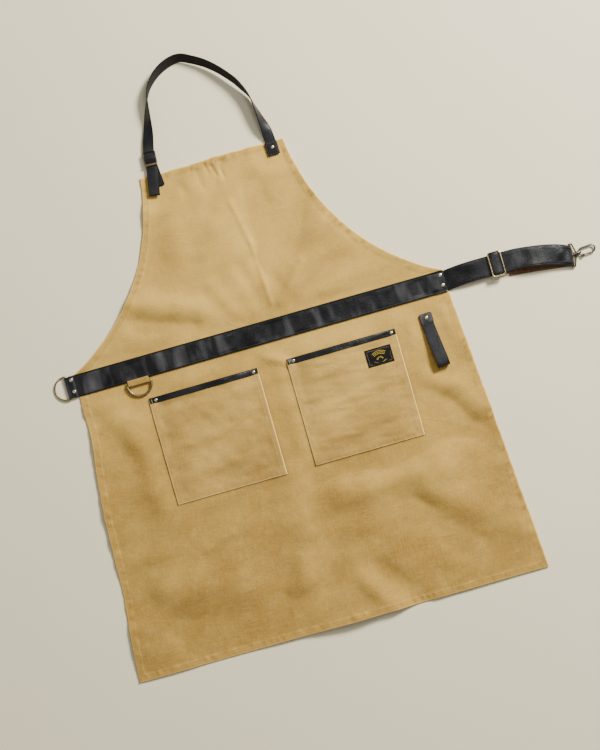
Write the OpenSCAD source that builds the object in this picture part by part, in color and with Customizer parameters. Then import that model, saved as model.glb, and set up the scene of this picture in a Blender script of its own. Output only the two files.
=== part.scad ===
// Canvas work apron lying on its back: bib and skirt with folded hems, two patch
// pockets, a leather waist belt with a D-ring at one end and a snap-hook strap at
// the other, a tool ring, a towel loop and a buckled neck strap.
// +Y is towards the bib, +X towards the snap hook, +Z out of the front. The origin
// is at the middle of the waist, on the back of the canvas.

/* [Canvas] */
// Width of the bib along its top edge
bib_w = 248; // [220:1:280]
// Height of the bib above the middle of the waist belt
bib_h = 303; // [280:1:340]
// Width of the body at the waist
waist_w = 640; // [600:1:680]
// Width of the skirt along the bottom hem
skirt_w = 709; // [660:1:780]
// Length of the skirt below the middle of the waist belt
skirt_h = 505; // [400:1:600]
// Thickness of the canvas
canvas_t = 1.6; // [1.4:0.1:1.6]
// Width of the folded hems
hem_w = 11; // [7:1:16]
// Thickness of the folded hems
hem_t = 2.6; // [2.2:0.1:3]

/* [Pockets] */
// Width of each patch pocket
pocket_w = 189; // [150:1:200]
// Height of each patch pocket
pocket_h = 182; // [140:1:200]
// Distance from the middle of the waist down to the pocket mouths
pocket_drop = 55.5; // [50:0.5:70]
// Space between the two pockets
pocket_split = 48.5; // [40:0.5:60]
// Sideways shift of the pair of pockets
pocket_shift = 2.8; // [0:0.2:4]
// Depth that the pockets gape to in the middle
pocket_gap = 5.6; // [5.2:0.2:8]
// Height of the leather trim on each pocket mouth
trim_h = 9.5; // [8:0.5:12]

/* [Leather] */
// Width of the waist belt
belt_w = 37.2; // [36:0.2:38]
// Thickness of the waist belt
belt_t = 2.8; // [2.6:0.1:2.8]
// Thickness of a single layer of leather
hide_t = 1.4; // [1.2:0.1:1.4]
// Width of the waist strap
strap_w = 34.5; // [30:0.5:34.5]
// Thickness of the waist strap
strap_t = 2.2; // [1.6:0.1:2.2]
// Width of the neck strap
neck_w = 18; // [14:0.5:18]
// Thickness of the neck strap
neck_t = 2.2; // [1.6:0.1:2.2]
// Width of the towel loop
towel_w = 20.5; // [16:0.5:21]
// Length of the towel loop below its tab
towel_len = 75; // [60:1:90]

/* [Metal] */
// Outer width of the ring at the end of the belt
side_ring_w = 42; // [42:0.5:46]
// Wire diameter of the ring at the end of the belt
side_wire = 2.7; // [2.2:0.1:2.7]
// Outer width of the tool ring
tool_ring_w = 45; // [45:0.5:50]
// Wire diameter of the tool ring
tool_wire = 3.8; // [3:0.1:3.8]
// Outer width of the snap hook
hook_w = 15; // [14:0.5:17]
// Outer length of the snap hook beyond its swivel
hook_len = 31; // [28:1:36]
// Radius of the rivet caps
cap_r = 3.4; // [3:0.1:3.6]

/* [Hidden] */
$fn = 48;

// Colours
canvas_color = [0.78, 0.64, 0.42];
pocket_color = [0.80, 0.67, 0.46];
hide_color = [0.11, 0.11, 0.12];
suede_color = [0.42, 0.25, 0.14];
brass_color = [0.62, 0.50, 0.28];
nickel_color = [0.42, 0.40, 0.36];
label_color = [0.10, 0.09, 0.08];

// Gaps: bodies that move past each other, pins in their holes, canvas and leather
clear = 0.3;
fit = 0.05;
lay = 0.1;

// Rivets: shank and base
shank_r = 1.2;
base_r = 3.2;
base_t = 0.5;
cap_h = 1.7;

// Layers above the table
belt_z = canvas_t;
belt_top = belt_z + belt_t;
panel_t = 1.2;
panel_z = canvas_t + pocket_gap;
trim_t = 1;
trim_low = canvas_t + panel_t + trim_t;

// Pockets: left edges and mouth line
pocket_x = [pocket_shift - pocket_split / 2 - pocket_w - 0.6,
            pocket_shift + pocket_split / 2];
mouth_y = -pocket_drop;
corner_w = 16;
rise_w = 22;
trim_in = [4, 0.5];
rivet_in = [12, 8];
rivet_drop = 3.5;

// Belt ends
chape_w = 36;
chape_x = -waist_w / 2 - 14.2;
chape_r = side_wire / 2 + fit + hide_t;
chape_z = canvas_t + belt_t / 2;
chape_lap = 14.2;
belt_left = chape_x + 5.2;
belt_right = waist_w / 2 - 1.5;
chape_rivets = [[chape_x + 8.4, 11.5], [chape_x + 8.8, -8.2]];
belt_rivets = [[belt_right - 5.7, 10.7], [belt_right - 5.7, -6.4]];

// Tool ring, under the belt's lower edge
ring_x = -218.2;
ring_bar = [ring_x, -belt_w / 2 - 5.4, 4.75];
ring_loop_w = 36.4;

// Towel loop
towel_at = [270.8, -61.9];
towel_turn = 5.6;
towel_tab = [22, 18.5, 3.4];
towel_rivet = [towel_at[0] + 0.3, -51.2];
towel_fold_r = 6;

// Neck strap: tabs, buckle and the bend line along the bib's top edge
bend_y = bib_h + 2.6;
right_tab = [91.8, 279, 21, 23.5];
left_tab = [-106.5, 279, neck_w, 25.5];
neck_rivets = [[103, 292.4], [-97.5, 290]];
buckle_at = [-98, 330, 4.25];
buckle_turn = -4;
buckle_pitch = 11;
buckle_wire = 1.1;

// Waist strap: the run that the adjuster slides along is level and straight
strap_x = waist_w / 2 - 0.2;
run_z = 8.5;
run_y = 2.6;
adjuster_at = [407, run_y + 0.4];
adjuster_half = [10.6, 19.85];
adjuster_wire = 1.35;

// End fold of the waist strap, and the hook's eye in it
fold_at = [530.5, -17.5, 3.55];
fold_turn = -5;
hook_turn = 4;
eye_wire = 1.3;
eye_half = strap_w / 2 + 1.65;
eye_reach = 9.8;
fold_bore = eye_wire + fit;
fold_r = 3.15;
hook_wire = 1.45;
hook_r = hook_w / 2 - hook_wire;
pivot_at = [21, -hook_r];
nose_x = 13 + hook_len - hook_w / 2;

// Routes of the straps, each stop being [x, y, z, roll]
neck_route = [
    [102, 308.5, 3.4, 0], [100.5, 325, 7.5, 22], [97.3, 342, 11.5, 52],
    [92.5, 366, 14.5, 78], [88.6, 384, 15.5, 90], [80, 402, 16, 106],
    [70, 418, 16, 114], [52, 439, 15, 118], [33, 456, 13.5, 124],
    [13, 468.5, 12, 128], [-6, 477, 11, 130], [-26.5, 474.5, 10.5, 130],
    [-48, 463.5, 10.5, 122], [-65, 446.5, 10.8, 105], [-73.5, 430.5, 11, 90],
    [-81.6, 403, 9.8, 60], [-89, 372, 7.2, 24], [-94.8, 352, 4.6, 4],
    [-97, 341, 4.4, 0]
];
buckle_route = [
    [-97, 341, 4.4, 0], [-98, 330, 8.2, 0], [-99, 319, 4.35, 0],
    [-100, 309.2, 4.6, 0]
];
tail_route = [
    [-100.7, 304.4, 5.2, 0], [-103, 292, 6.8, 0], [-107.2, 268, 7.4, 0]
];
strap_route = [
    [strap_x + 1.7, 0, 3, 0], [336, 1.4, 5.4, 0], [360, run_y, run_z, 0],
    [430, run_y, run_z, 0], [448, 1.6, 11, -6], [468, -1, 12.6, -9],
    [490, -5, 12, -5], [508, -9.6, 9.7, -1]
];

// Armhole edge, a cubic curve from the bib's corner down to the waist
function armhole_nodes() = [
    [bib_w / 2, bib_h],
    [bib_w / 2 + 11, bib_h * 0.67],
    [waist_w * 0.292, bib_h * 0.28],
    [waist_w / 2, belt_w / 2]
];
function armhole(t, p = armhole_nodes()) =
    pow(1 - t, 3) * p[0] + 3 * pow(1 - t, 2) * t * p[1]
    + 3 * (1 - t) * t * t * p[2] + pow(t, 3) * p[3];
function armhole_in(t, d) =
    let (a = armhole(max(t - 0.01, 0)), b = armhole(min(t + 0.01, 1)), v = b - a)
    armhole(t) + d * [v[1], -v[0]] / norm(v);

// Smooth curve through the stops of a route
function spline(p0, p1, p2, p3, t) =
    0.5 * (2 * p1 + (p2 - p0) * t + (2 * p0 - 5 * p1 + 4 * p2 - p3) * t * t
           + (3 * p1 - p0 - 3 * p2 + p3) * t * t * t);
function smooth_route(r, n) =
    let (last = len(r) - 1)
    concat([for (i = [0 : last - 1], k = [0 : n - 1])
        spline(r[max(i - 1, 0)], r[i], r[i + 1], r[min(i + 2, last)], k / n)],
        [r[last]]);
function place(s) = [s[0], s[1], s[2]];
function unit(v) = v / norm(v);

// Corners of a strap's section at one stop, square to its route and rolled about it
function section(r, i, w, t) =
    let (
        ahead = unit(place(r[min(i + 1, len(r) - 1)]) - place(r[max(i - 1, 0)])),
        flat_side = unit(cross([0, 0, 1], ahead)),
        flat_up = cross(ahead, flat_side),
        side = cos(r[i][3]) * flat_side + sin(r[i][3]) * flat_up,
        up = cross(ahead, side)
    )
    [for (c = [[1, 1], [-1, 1], [-1, -1], [1, -1]])
        place(r[i]) + c[0] * side * w / 2 + c[1] * up * t / 2];

// Strap swept along its route as one closed skin
module ribbon(r, w, t) {
    last = len(r) - 1;
    points = [for (i = [0 : last], p = section(r, i, w, t)) p];
    sides = [for (i = [0 : last - 1], k = [0 : 3], half = [0, 1])
        let (n = (k + 1) % 4, a = 4 * i)
        half == 0 ? [a + k, a + 4 + k, a + 4 + n] : [a + k, a + 4 + n, a + n]];
    ends = [[0, 1, 2, 3], [4 * last + 3, 4 * last + 2, 4 * last + 1, 4 * last]];
    polyhedron(points, concat(sides, ends));
}

// Straight wire between two points with round ends
module wire(a, b, r) {
    v = b - a;
    translate(a) {
        sphere(r = r);
        rotate([0, acos(v[2] / norm(v)), atan2(v[1], v[0])])
            cylinder(r = r, h = norm(v));
    }
    translate(b) sphere(r = r);
}

// Round bar between two points, without end spheres
module rod(a, b, r) {
    v = b - a;
    translate(a)
        rotate([0, acos(v[2] / norm(v)), atan2(v[1], v[0])])
            cylinder(r = r, h = norm(v));
}

module rod_x(r, len) {
    rotate([0, 90, 0]) cylinder(r = r, h = len, center = true);
}

module rod_y(r, len) {
    rotate([90, 0, 0]) cylinder(r = r, h = len, center = true);
}

// D-ring with its straight bar along X through the origin and its bow towards -Y
module d_ring(outer, r, leg) {
    half = outer / 2 - r;
    wire([-half, 0, 0], [half, 0, 0], r);
    wire([-half, 0, 0], [-half, -leg, 0], r);
    wire([half, 0, 0], [half, -leg, 0], r);
    translate([0, -leg, 0])
        rotate([0, 0, 180])
            rotate_extrude(angle = 180) translate([half, 0]) circle(r = r);
}

// Domed rivet cap sitting at height z, with a socket for the post
module rivet_cap(at, z, r = cap_r) {
    dome = (r * r + cap_h * cap_h) / (2 * cap_h);
    translate([at[0], at[1], z])
        difference() {
            intersection() {
                translate([0, 0, cap_h - dome]) sphere(r = dome, $fn = 64);
                cylinder(r = r, h = cap_h);
            }
            translate([0, 0, -1]) cylinder(r = shank_r + fit, h = 2);
        }
}

// Rivet post: a flat base at z0 and a shank that ends inside its cap at height z
module rivet_post(at, z0, z, r = base_r) {
    translate([at[0], at[1], z0]) {
        cylinder(r = r, h = base_t);
        cylinder(r = shank_r, h = z + 0.9 - z0);
    }
}

module rivet_holes(spots, z0 = 0) {
    for (at = spots)
        translate([at[0], at[1], z0 - 1]) {
            cylinder(r = shank_r + fit, h = 40);
            cylinder(r = base_r + fit, h = 1 + base_t);
        }
}

function pocket_rivets(i) = [
    [pocket_x[i] + rivet_in[0], mouth_y - rivet_drop],
    [pocket_x[i] + pocket_w - rivet_in[1], mouth_y - rivet_drop]
];

// Hems: raised bands along every free edge of the canvas
module armhole_hem() {
    steps = 24;
    polygon(concat(
        [for (k = [0 : steps]) armhole(k / steps)],
        [for (k = [steps : -1 : 0]) armhole_in(k / steps, hem_w * min(1, 3 - 2.9 * k / steps))]
    ));
}

module skirt_hem() {
    top = [waist_w / 2, -belt_w / 2 - lay];
    low = [skirt_w / 2, -skirt_h];
    polygon([top, low, low - [hem_w, 0], top - [hem_w, 0]]);
}

module body_outline() {
    steps = 24;
    right = [for (k = [0 : steps]) armhole(k / steps)];
    left = [for (k = [steps : -1 : 0]) [-armhole(k / steps)[0], armhole(k / steps)[1]]];
    low = [
        [waist_w / 2, -belt_w / 2],
        [skirt_w / 2, -skirt_h],
        [-skirt_w / 2, -skirt_h],
        [-waist_w / 2, -belt_w / 2]
    ];
    polygon(concat(right, low, left));
}

module canvas_body() {
    color(canvas_color)
        difference() {
            union() {
                linear_extrude(canvas_t) body_outline();
                linear_extrude(hem_t) {
                    translate([-bib_w / 2 + hem_w, bib_h - hem_w])
                        square([bib_w - 2 * hem_w, hem_w]);
                    translate([-skirt_w / 2, -skirt_h]) square([skirt_w, hem_w]);
                    for (side = [0, 1])
                        mirror([side, 0]) {
                            armhole_hem();
                            skirt_hem();
                        }
                }
            }
            translate([0, 0, canvas_t + 5])
                cube([2 * waist_w, belt_w + 2 * lay, 10], center = true);
            for (tab = [right_tab, left_tab])
                translate([tab[0] - lay, tab[1] - lay, canvas_t])
                    cube([tab[2] + 2 * lay, 40, 10]);
            translate([left_tab[0] - 12, 262, canvas_t]) cube([30, 60, 10]);
            rivet_holes(concat(pocket_rivets(0), pocket_rivets(1), belt_rivets,
                               [towel_rivet], neck_rivets));
        }
}

// Gaping layer over a pocket: flat where it is sewn down at the sides, raised between
module gape(i, from_x, to_x, low, high, t) {
    x0 = pocket_x[i];
    near = x0 + corner_w;
    far = x0 + pocket_w - corner_w;
    top = [
        [x0 + from_x, low], [near, low], [near + rise_w, high],
        [far - rise_w, high], [far, low], [x0 + to_x, low]
    ];
    polygon(concat([for (p = top) p + [0, t]], [for (k = [5 : -1 : 0]) top[k]]));
}

module across_y(y0, len) {
    translate([0, y0 + len, 0]) rotate([90, 0, 0]) linear_extrude(len) children();
}

module pocket(i) {
    floor_y = mouth_y - pocket_h;
    color(pocket_color)
        difference() {
            union() {
                across_y(floor_y, pocket_h)
                    gape(i, 0, pocket_w, canvas_t, panel_z, panel_t);
                across_y(floor_y, 2.4)
                    polygon([
                        [pocket_x[i] + corner_w, canvas_t],
                        [pocket_x[i] + corner_w + rise_w, panel_z + 0.1],
                        [pocket_x[i] + pocket_w - corner_w - rise_w, panel_z + 0.1],
                        [pocket_x[i] + pocket_w - corner_w, canvas_t]
                    ]);
            }
            rivet_holes(pocket_rivets(i));
        }
}

module left_pocket() {
    pocket(0);
}

module right_pocket() {
    pocket(1);
}

// Trim folded over the mouth: outer face, edge, and a lip inside the mouth
module pocket_trim(i) {
    lip_w = corner_w + rise_w + 2;
    color(hide_color)
        difference() {
            union() {
                across_y(mouth_y - trim_h + trim_t, trim_h)
                    gape(i, trim_in[0], pocket_w - trim_in[1],
                         canvas_t + panel_t, panel_z + panel_t, trim_t);
                across_y(mouth_y, trim_t)
                    gape(i, trim_in[0], pocket_w - trim_in[1],
                         canvas_t + lay, panel_z, panel_t + 0.1);
                translate([pocket_x[i] + lip_w, mouth_y - trim_h + 2, panel_z - trim_t])
                    cube([pocket_w - 2 * lip_w, trim_h - 1, trim_t]);
            }
            rivet_holes(pocket_rivets(i));
        }
}

module left_pocket_trim() {
    pocket_trim(0);
}

module right_pocket_trim() {
    pocket_trim(1);
}

module pocket_rivet_caps() {
    color(brass_color)
        for (i = [0, 1], at = pocket_rivets(i)) rivet_cap(at, trim_low, 2.9);
}

module pocket_rivet_posts() {
    color(brass_color)
        for (i = [0, 1], at = pocket_rivets(i)) rivet_post(at, 0, trim_low);
}

module pocket_label() {
    color(label_color)
        intersection() {
            across_y(-105.4, 29.4)
                gape(1, 0, pocket_w, canvas_t + panel_t, panel_z + panel_t, 0.5);
            translate([156, -120, 0]) cube([45, 60, 40]);
        }
}

module waist_belt() {
    color(hide_color)
        difference() {
            translate([belt_left, -belt_w / 2, belt_z])
                cube([belt_right - belt_left, belt_w, belt_t]);
            translate([belt_right - 19, -belt_w, belt_z - 1])
                cube([40, 2 * belt_w, hide_t + 1]);
            rivet_holes(concat(belt_rivets, chape_rivets));
        }
}

// Leather folded round the bar of the side ring and riveted through the belt's end
module left_chape() {
    color(hide_color)
        difference() {
            union() {
                translate([chape_x, 0, chape_z]) rod_y(chape_r, chape_w);
                translate([chape_x, -chape_w / 2, chape_z + chape_r - hide_t])
                    cube([chape_lap, chape_w, hide_t]);
                translate([chape_x, -chape_w / 2, chape_z - chape_r])
                    cube([chape_lap - lay, chape_w, hide_t]);
            }
            translate([chape_x, 0, chape_z]) rod_y(side_wire / 2 + fit, 60);
            rivet_holes(chape_rivets, chape_z - chape_r);
        }
}

module belt_rivet_caps() {
    color(brass_color) {
        for (at = belt_rivets) rivet_cap(at, belt_top);
        for (at = chape_rivets) rivet_cap(at, chape_z + chape_r);
    }
}

module belt_rivet_posts() {
    color(brass_color) {
        for (at = belt_rivets) rivet_post(at, 0, belt_top);
        for (at = chape_rivets)
            rivet_post(at, chape_z - chape_r, chape_z + chape_r);
    }
}

// End of the waist strap, held between the belt and the canvas
module strap_anchor() {
    color(hide_color)
        difference() {
            translate([belt_right - 19 + lay, -strap_w / 2, belt_z])
                cube([19 + 1.2 - lay, strap_w, hide_t - 0.02]);
            rivet_holes(belt_rivets);
        }
}

// Canvas tab folded round the bar of the tool ring
module tool_ring_loop() {
    r = tool_wire / 2 + fit + 1.05;
    reach = -belt_w / 2 - ring_bar[1] - lay;
    color(pocket_color)
        translate(ring_bar)
            difference() {
                hull() {
                    rod_x(r, ring_loop_w);
                    translate([-ring_loop_w / 2, reach - 1, canvas_t + lay - ring_bar[2]])
                        cube([ring_loop_w, 1, 2.7]);
                }
                rod_x(tool_wire / 2 + fit, 60);
            }
}

module towel_tab() {
    color(hide_color)
        difference() {
            translate([towel_at[0] - towel_tab[0] / 2, towel_at[1] + 0.5, canvas_t + lay])
                cube(towel_tab);
            rivet_holes([towel_rivet]);
        }
}

module towel_rivet_cap() {
    color(brass_color) rivet_cap(towel_rivet, canvas_t + lay + towel_tab[2]);
}

module towel_rivet_post() {
    color(brass_color) rivet_post(towel_rivet, 0, canvas_t + lay + towel_tab[2]);
}

module neck_right_tab() {
    color(hide_color)
        difference() {
            translate([right_tab[0], right_tab[1], canvas_t + lay])
                cube([right_tab[2], right_tab[3], 2 * hide_t]);
            rivet_holes(neck_rivets);
        }
}

module neck_left_tab() {
    color(hide_color)
        difference() {
            translate([left_tab[0], left_tab[1], canvas_t + lay])
                cube([left_tab[2], left_tab[3], hide_t]);
            rivet_holes(neck_rivets);
        }
}

module neck_tail() {
    color(hide_color) ribbon(tail_route, neck_w, neck_t);
}

module neck_rivet_caps() {
    color(brass_color) {
        rivet_cap(neck_rivets[0], canvas_t + lay + 2 * hide_t);
        rivet_cap(neck_rivets[1], canvas_t + lay + hide_t, 2.9);
    }
}

module neck_rivet_posts() {
    color(brass_color) {
        rivet_post(neck_rivets[0], 0, canvas_t + lay + 2 * hide_t);
        rivet_post(neck_rivets[1], 0, canvas_t + lay + hide_t);
    }
}

// Side ring: its bow points to -X and sinks a little, to lie on the table
module left_d_ring() {
    color(brass_color)
        translate([chape_x, 0, chape_z])
            rotate([0, -3.4, 0])
                rotate([0, 0, -90])
                    d_ring(side_ring_w, side_wire / 2, 2.9);
}

module tool_d_ring() {
    color(brass_color)
        translate(ring_bar)
            rotate([2.4, 0, 0])
                d_ring(tool_ring_w, tool_wire / 2, 1);
}

// Towel loop: a strap folded back on itself, its layers parting towards the fold
module towel_loop() {
    reach = towel_len - towel_fold_r;
    low = canvas_t + clear;
    mid = low + towel_fold_r;
    bore = towel_fold_r - hide_t;
    color(hide_color)
        translate([towel_at[0], towel_at[1], 0])
            rotate([0, 0, towel_turn])
                difference() {
                    union() {
                        translate([0, -reach, mid]) rod_x(towel_fold_r, towel_w);
                        rotate([90, 0, -90])
                            translate([0, 0, -towel_w / 2])
                                linear_extrude(towel_w)
                                    polygon([
                                        [1.2, low], [reach, low],
                                        [reach + 0.6, mid + towel_fold_r],
                                        [reach, mid + towel_fold_r],
                                        [1.2, low + 2 * hide_t + 0.2]
                                    ]);
                    }
                    translate([0, -reach, mid]) rod_x(bore, 60);
                    rotate([90, 0, -90])
                        translate([0, 0, -30])
                            linear_extrude(60)
                                polygon([
                                    [10, low + hide_t], [reach, low + hide_t],
                                    [reach, mid + bore], [10, low + hide_t + 0.6]
                                ]);
                }
}

module neck_strap() {
    route = smooth_route(neck_route, 2);
    through = [for (i = [1 : len(buckle_route) - 1]) buckle_route[i]];
    color(hide_color) ribbon(concat(route, through), neck_w, neck_t);
}

// Fold that carries the neck buckle on its middle bar
module buckle_chape() {
    outer = buckle_wire + fit + hide_t;
    color(hide_color)
        difference() {
            union() {
                translate(buckle_at) rotate([0, 0, buckle_turn]) rod_x(outer, neck_w);
                translate([left_tab[0] + 0.5, bend_y + 1.4, canvas_t + lay])
                    cube([neck_w, buckle_at[1] - bend_y - 1.4, hide_t]);
            }
            translate(buckle_at) rotate([0, 0, buckle_turn]) rod_x(buckle_wire + fit, 60);
        }
}

// Neck buckle: outer bars over the strap, middle bar lower, in the chape's fold
module neck_buckle() {
    half = neck_w / 2 + 2.6;
    rise = 2.7;
    color(brass_color)
        translate(buckle_at)
            rotate([0, 0, buckle_turn]) {
                wire([-half, 0, 0], [half, 0, 0], buckle_wire);
                for (end = [-buckle_pitch, buckle_pitch])
                    wire([-half, end, rise], [half, end, rise], buckle_wire);
                for (side = [-half, half]) {
                    wire([side, -buckle_pitch, rise], [side, buckle_pitch, rise], buckle_wire);
                    wire([side, 0, 0], [side, 0, rise], buckle_wire);
                }
            }
}

module waist_strap() {
    color(hide_color) ribbon(strap_route, strap_w, strap_t);
}

// Slide adjuster: side bars over the strap, middle bar under it
module slide_adjuster() {
    top_z = run_z + strap_t / 2 + 0.35 + adjuster_wire;
    bar_z = run_z - strap_t / 2 - 0.45 - 2.85;
    half = adjuster_half;
    color(brass_color)
        translate([adjuster_at[0], adjuster_at[1], 0]) {
            for (side = [-half[0], half[0]])
                wire([side, -half[1], top_z], [side, half[1], top_z], adjuster_wire);
            for (end = [-half[1], half[1]]) {
                wire([-half[0], end, top_z], [half[0], end, top_z], adjuster_wire);
                wire([0, end, top_z], [0, end, bar_z], adjuster_wire);
            }
            wire([0, -half[1], bar_z], [0, half[1], bar_z], adjuster_wire);
        }
}

// End of the return layer, wrapped round the adjuster's middle bar
module return_wrap() {
    bar_z = run_z - strap_t / 2 - 0.45 - 2.85;
    wrap_w = 33;
    low_y = adjuster_at[1] - 1.5;
    color(suede_color)
        difference() {
            union() {
                translate([adjuster_at[0], low_y, bar_z]) rod_y(2.85, wrap_w);
                translate([adjuster_at[0], low_y - wrap_w / 2, bar_z - 1.7])
                    cube([30, wrap_w, hide_t]);
            }
            translate([adjuster_at[0], adjuster_at[1], bar_z]) rod_y(adjuster_wire + fit, 60);
        }
}

module at_fold(turn) {
    translate(fold_at) rotate([0, 0, turn]) children();
}

module strap_fold() {
    color(hide_color)
        at_fold(fold_turn)
            difference() {
                union() {
                    rod_y(fold_r, strap_w);
                    translate([-18, -strap_w / 2, fold_r - 1.6]) cube([18, strap_w, 1.6]);
                    translate([-10, -strap_w / 2, -fold_r]) cube([10, strap_w, 1.6]);
                }
                rod_y(fold_bore, 60);
            }
}

// Lower layer of the strap, running back from the fold to the adjuster
module strap_return() {
    color(suede_color)
        hull() {
            at_fold(fold_turn)
                translate([-10.3, -strap_w / 2, -fold_r]) cube([0.1, strap_w, 1.6]);
            translate([424, -5 - strap_w / 2, fold_at[2] - fold_r])
                cube([0.1, strap_w, 1.6]);
        }
}

// Swivel boss and eye: the eye's bar turns in the fold, the shank in the boss
module hook_eye() {
    turn = hook_turn - fold_turn;
    boss = eye_reach * [cos(turn), sin(turn), 0];
    color(nickel_color)
        difference() {
            union() {
                at_fold(fold_turn) {
                    rod([0, -eye_half, 0], [0, eye_half, 0], eye_wire);
                    for (s = [-1, 1]) {
                        corner = [4.8, s * eye_half, 0];
                        translate([0, s * eye_half, 0]) sphere(r = eye_wire + 0.08);
                        translate(corner) sphere(r = eye_wire + 0.08);
                        rod([0, s * eye_half, 0], corner, eye_wire - 0.04);
                        rod(corner, boss + [0, s * 2.4, 0], eye_wire);
                    }
                }
                at_fold(hook_turn) translate([eye_reach, 0, 0]) rod_x(3.2, 4.8);
            }
            at_fold(hook_turn) translate([eye_reach, 0, 0]) rod_x(1.55 + fit, 8);
        }
}

module hook_body() {
    ear_turn = 165;
    color(nickel_color)
        at_fold(hook_turn)
            difference() {
                union() {
                    translate([8.9, 0, 0]) rod_x(1.55, 8);
                    translate([6, 0, 0]) rod_x(2.4, 2.2);
                    translate([13.9, 0, 0]) rod_x(2.9, 3);
                    translate([pivot_at[0], 0, 0])
                        rotate([0, 0, 90])
                            rotate_extrude(angle = 150)
                                translate([hook_r, 0]) circle(r = hook_wire);
                    wire([pivot_at[0], hook_r, 0], [nose_x, hook_r, 0], hook_wire);
                    translate([nose_x, 0, 0])
                        rotate([0, 0, -90])
                            rotate_extrude(angle = 180)
                                translate([hook_r, 0]) circle(r = hook_wire);
                    translate([nose_x, -hook_r, 0]) sphere(r = hook_wire);
                    translate([pivot_at[0], pivot_at[1], -2.45]) cylinder(r = 2.2, h = 4.9);
                    translate([pivot_at[0], pivot_at[1], -2.3])
                        rotate([0, 0, ear_turn])
                            translate([0, -1.6, 0]) cube([3.4, 3.2, 4.6]);
                }
                translate([pivot_at[0], pivot_at[1], -1.32]) cylinder(r = 2.4, h = 2.64);
                translate([pivot_at[0], pivot_at[1], -4]) cylinder(r = 0.82, h = 8);
            }
}

module hook_gate() {
    gate_r = 1.1;
    tip_x = nose_x - hook_wire - gate_r - 0.25;
    color(nickel_color)
        at_fold(hook_turn)
            difference() {
                union() {
                    translate([pivot_at[0], pivot_at[1], -1.2]) cylinder(r = 2, h = 2.4);
                    wire([pivot_at[0], pivot_at[1], 0], [tip_x, pivot_at[1], 0], gate_r);
                    translate([tip_x - 3, pivot_at[1] - 1.2, 0]) sphere(r = 1.2);
                }
                translate([pivot_at[0], pivot_at[1], -4]) cylinder(r = 0.85, h = 8);
            }
}

module gate_pin() {
    color(nickel_color)
        at_fold(hook_turn)
            translate([pivot_at[0], pivot_at[1], -2.9]) {
                cylinder(r = 0.8, h = 6.6);
                cylinder(r = 1.4, h = 0.4);
            }
}

// Torsion spring on the end of the gate pin
module gate_spring() {
    color(brass_color)
        at_fold(hook_turn)
            translate([pivot_at[0], pivot_at[1], 2.75])
                for (k = [0 : 1])
                    translate([0, 0, 0.5 * k])
                        rotate_extrude() translate([1.1, 0]) circle(r = 0.24);
}

canvas_body();
left_pocket();
right_pocket();
left_pocket_trim();
right_pocket_trim();
pocket_rivet_caps();
pocket_rivet_posts();
pocket_label();
waist_belt();
left_chape();
belt_rivet_caps();
belt_rivet_posts();
strap_anchor();
tool_ring_loop();
towel_tab();
towel_rivet_cap();
towel_rivet_post();
neck_right_tab();
neck_left_tab();
neck_tail();
neck_rivet_caps();
neck_rivet_posts();
left_d_ring();
tool_d_ring();
towel_loop();
neck_strap();
buckle_chape();
neck_buckle();
waist_strap();
slide_adjuster();
return_wrap();
strap_fold();
strap_return();
hook_eye();
hook_body();
hook_gate();
gate_pin();
gate_spring();
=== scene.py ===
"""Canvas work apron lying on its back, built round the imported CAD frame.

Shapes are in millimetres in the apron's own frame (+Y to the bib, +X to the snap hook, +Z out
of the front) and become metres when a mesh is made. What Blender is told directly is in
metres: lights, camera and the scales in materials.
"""

import math

import bpy
import numpy as np
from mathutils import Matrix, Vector


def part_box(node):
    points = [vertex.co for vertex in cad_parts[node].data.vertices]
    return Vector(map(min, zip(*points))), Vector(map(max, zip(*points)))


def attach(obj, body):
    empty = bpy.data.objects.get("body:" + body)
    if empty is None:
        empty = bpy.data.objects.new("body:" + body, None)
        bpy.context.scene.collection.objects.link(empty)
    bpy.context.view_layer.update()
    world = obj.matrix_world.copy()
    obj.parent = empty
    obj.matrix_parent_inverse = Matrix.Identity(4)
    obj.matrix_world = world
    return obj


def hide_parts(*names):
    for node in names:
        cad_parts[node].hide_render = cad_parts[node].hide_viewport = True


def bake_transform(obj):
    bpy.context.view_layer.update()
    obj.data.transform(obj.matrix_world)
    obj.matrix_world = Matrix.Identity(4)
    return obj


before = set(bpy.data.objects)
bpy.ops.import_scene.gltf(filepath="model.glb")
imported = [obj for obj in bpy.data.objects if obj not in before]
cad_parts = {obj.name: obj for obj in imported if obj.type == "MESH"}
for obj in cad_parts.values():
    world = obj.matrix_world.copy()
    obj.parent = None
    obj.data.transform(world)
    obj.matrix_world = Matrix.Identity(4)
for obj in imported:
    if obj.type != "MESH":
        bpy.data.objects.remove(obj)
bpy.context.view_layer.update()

MM = 0.001
UP = np.array([0.0, 0.0, 1.0])


def span(node):
    """Lowest and highest corners of a CAD node, in millimetres."""
    return [np.array(corner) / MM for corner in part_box(node)]


# ---------------------------------------------------------------- sizes from the frame
body_lo, body_hi = span("canvas_body")
belt_lo, belt_hi = span("waist_belt")
panel_lo, _ = span("left_pocket")
right_lo, right_hi = span("right_pocket")
label_lo, label_hi = span("pocket_label")
tab_lo, tab_hi = span("towel_tab")
_, adjuster_hi = span("slide_adjuster")

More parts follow.
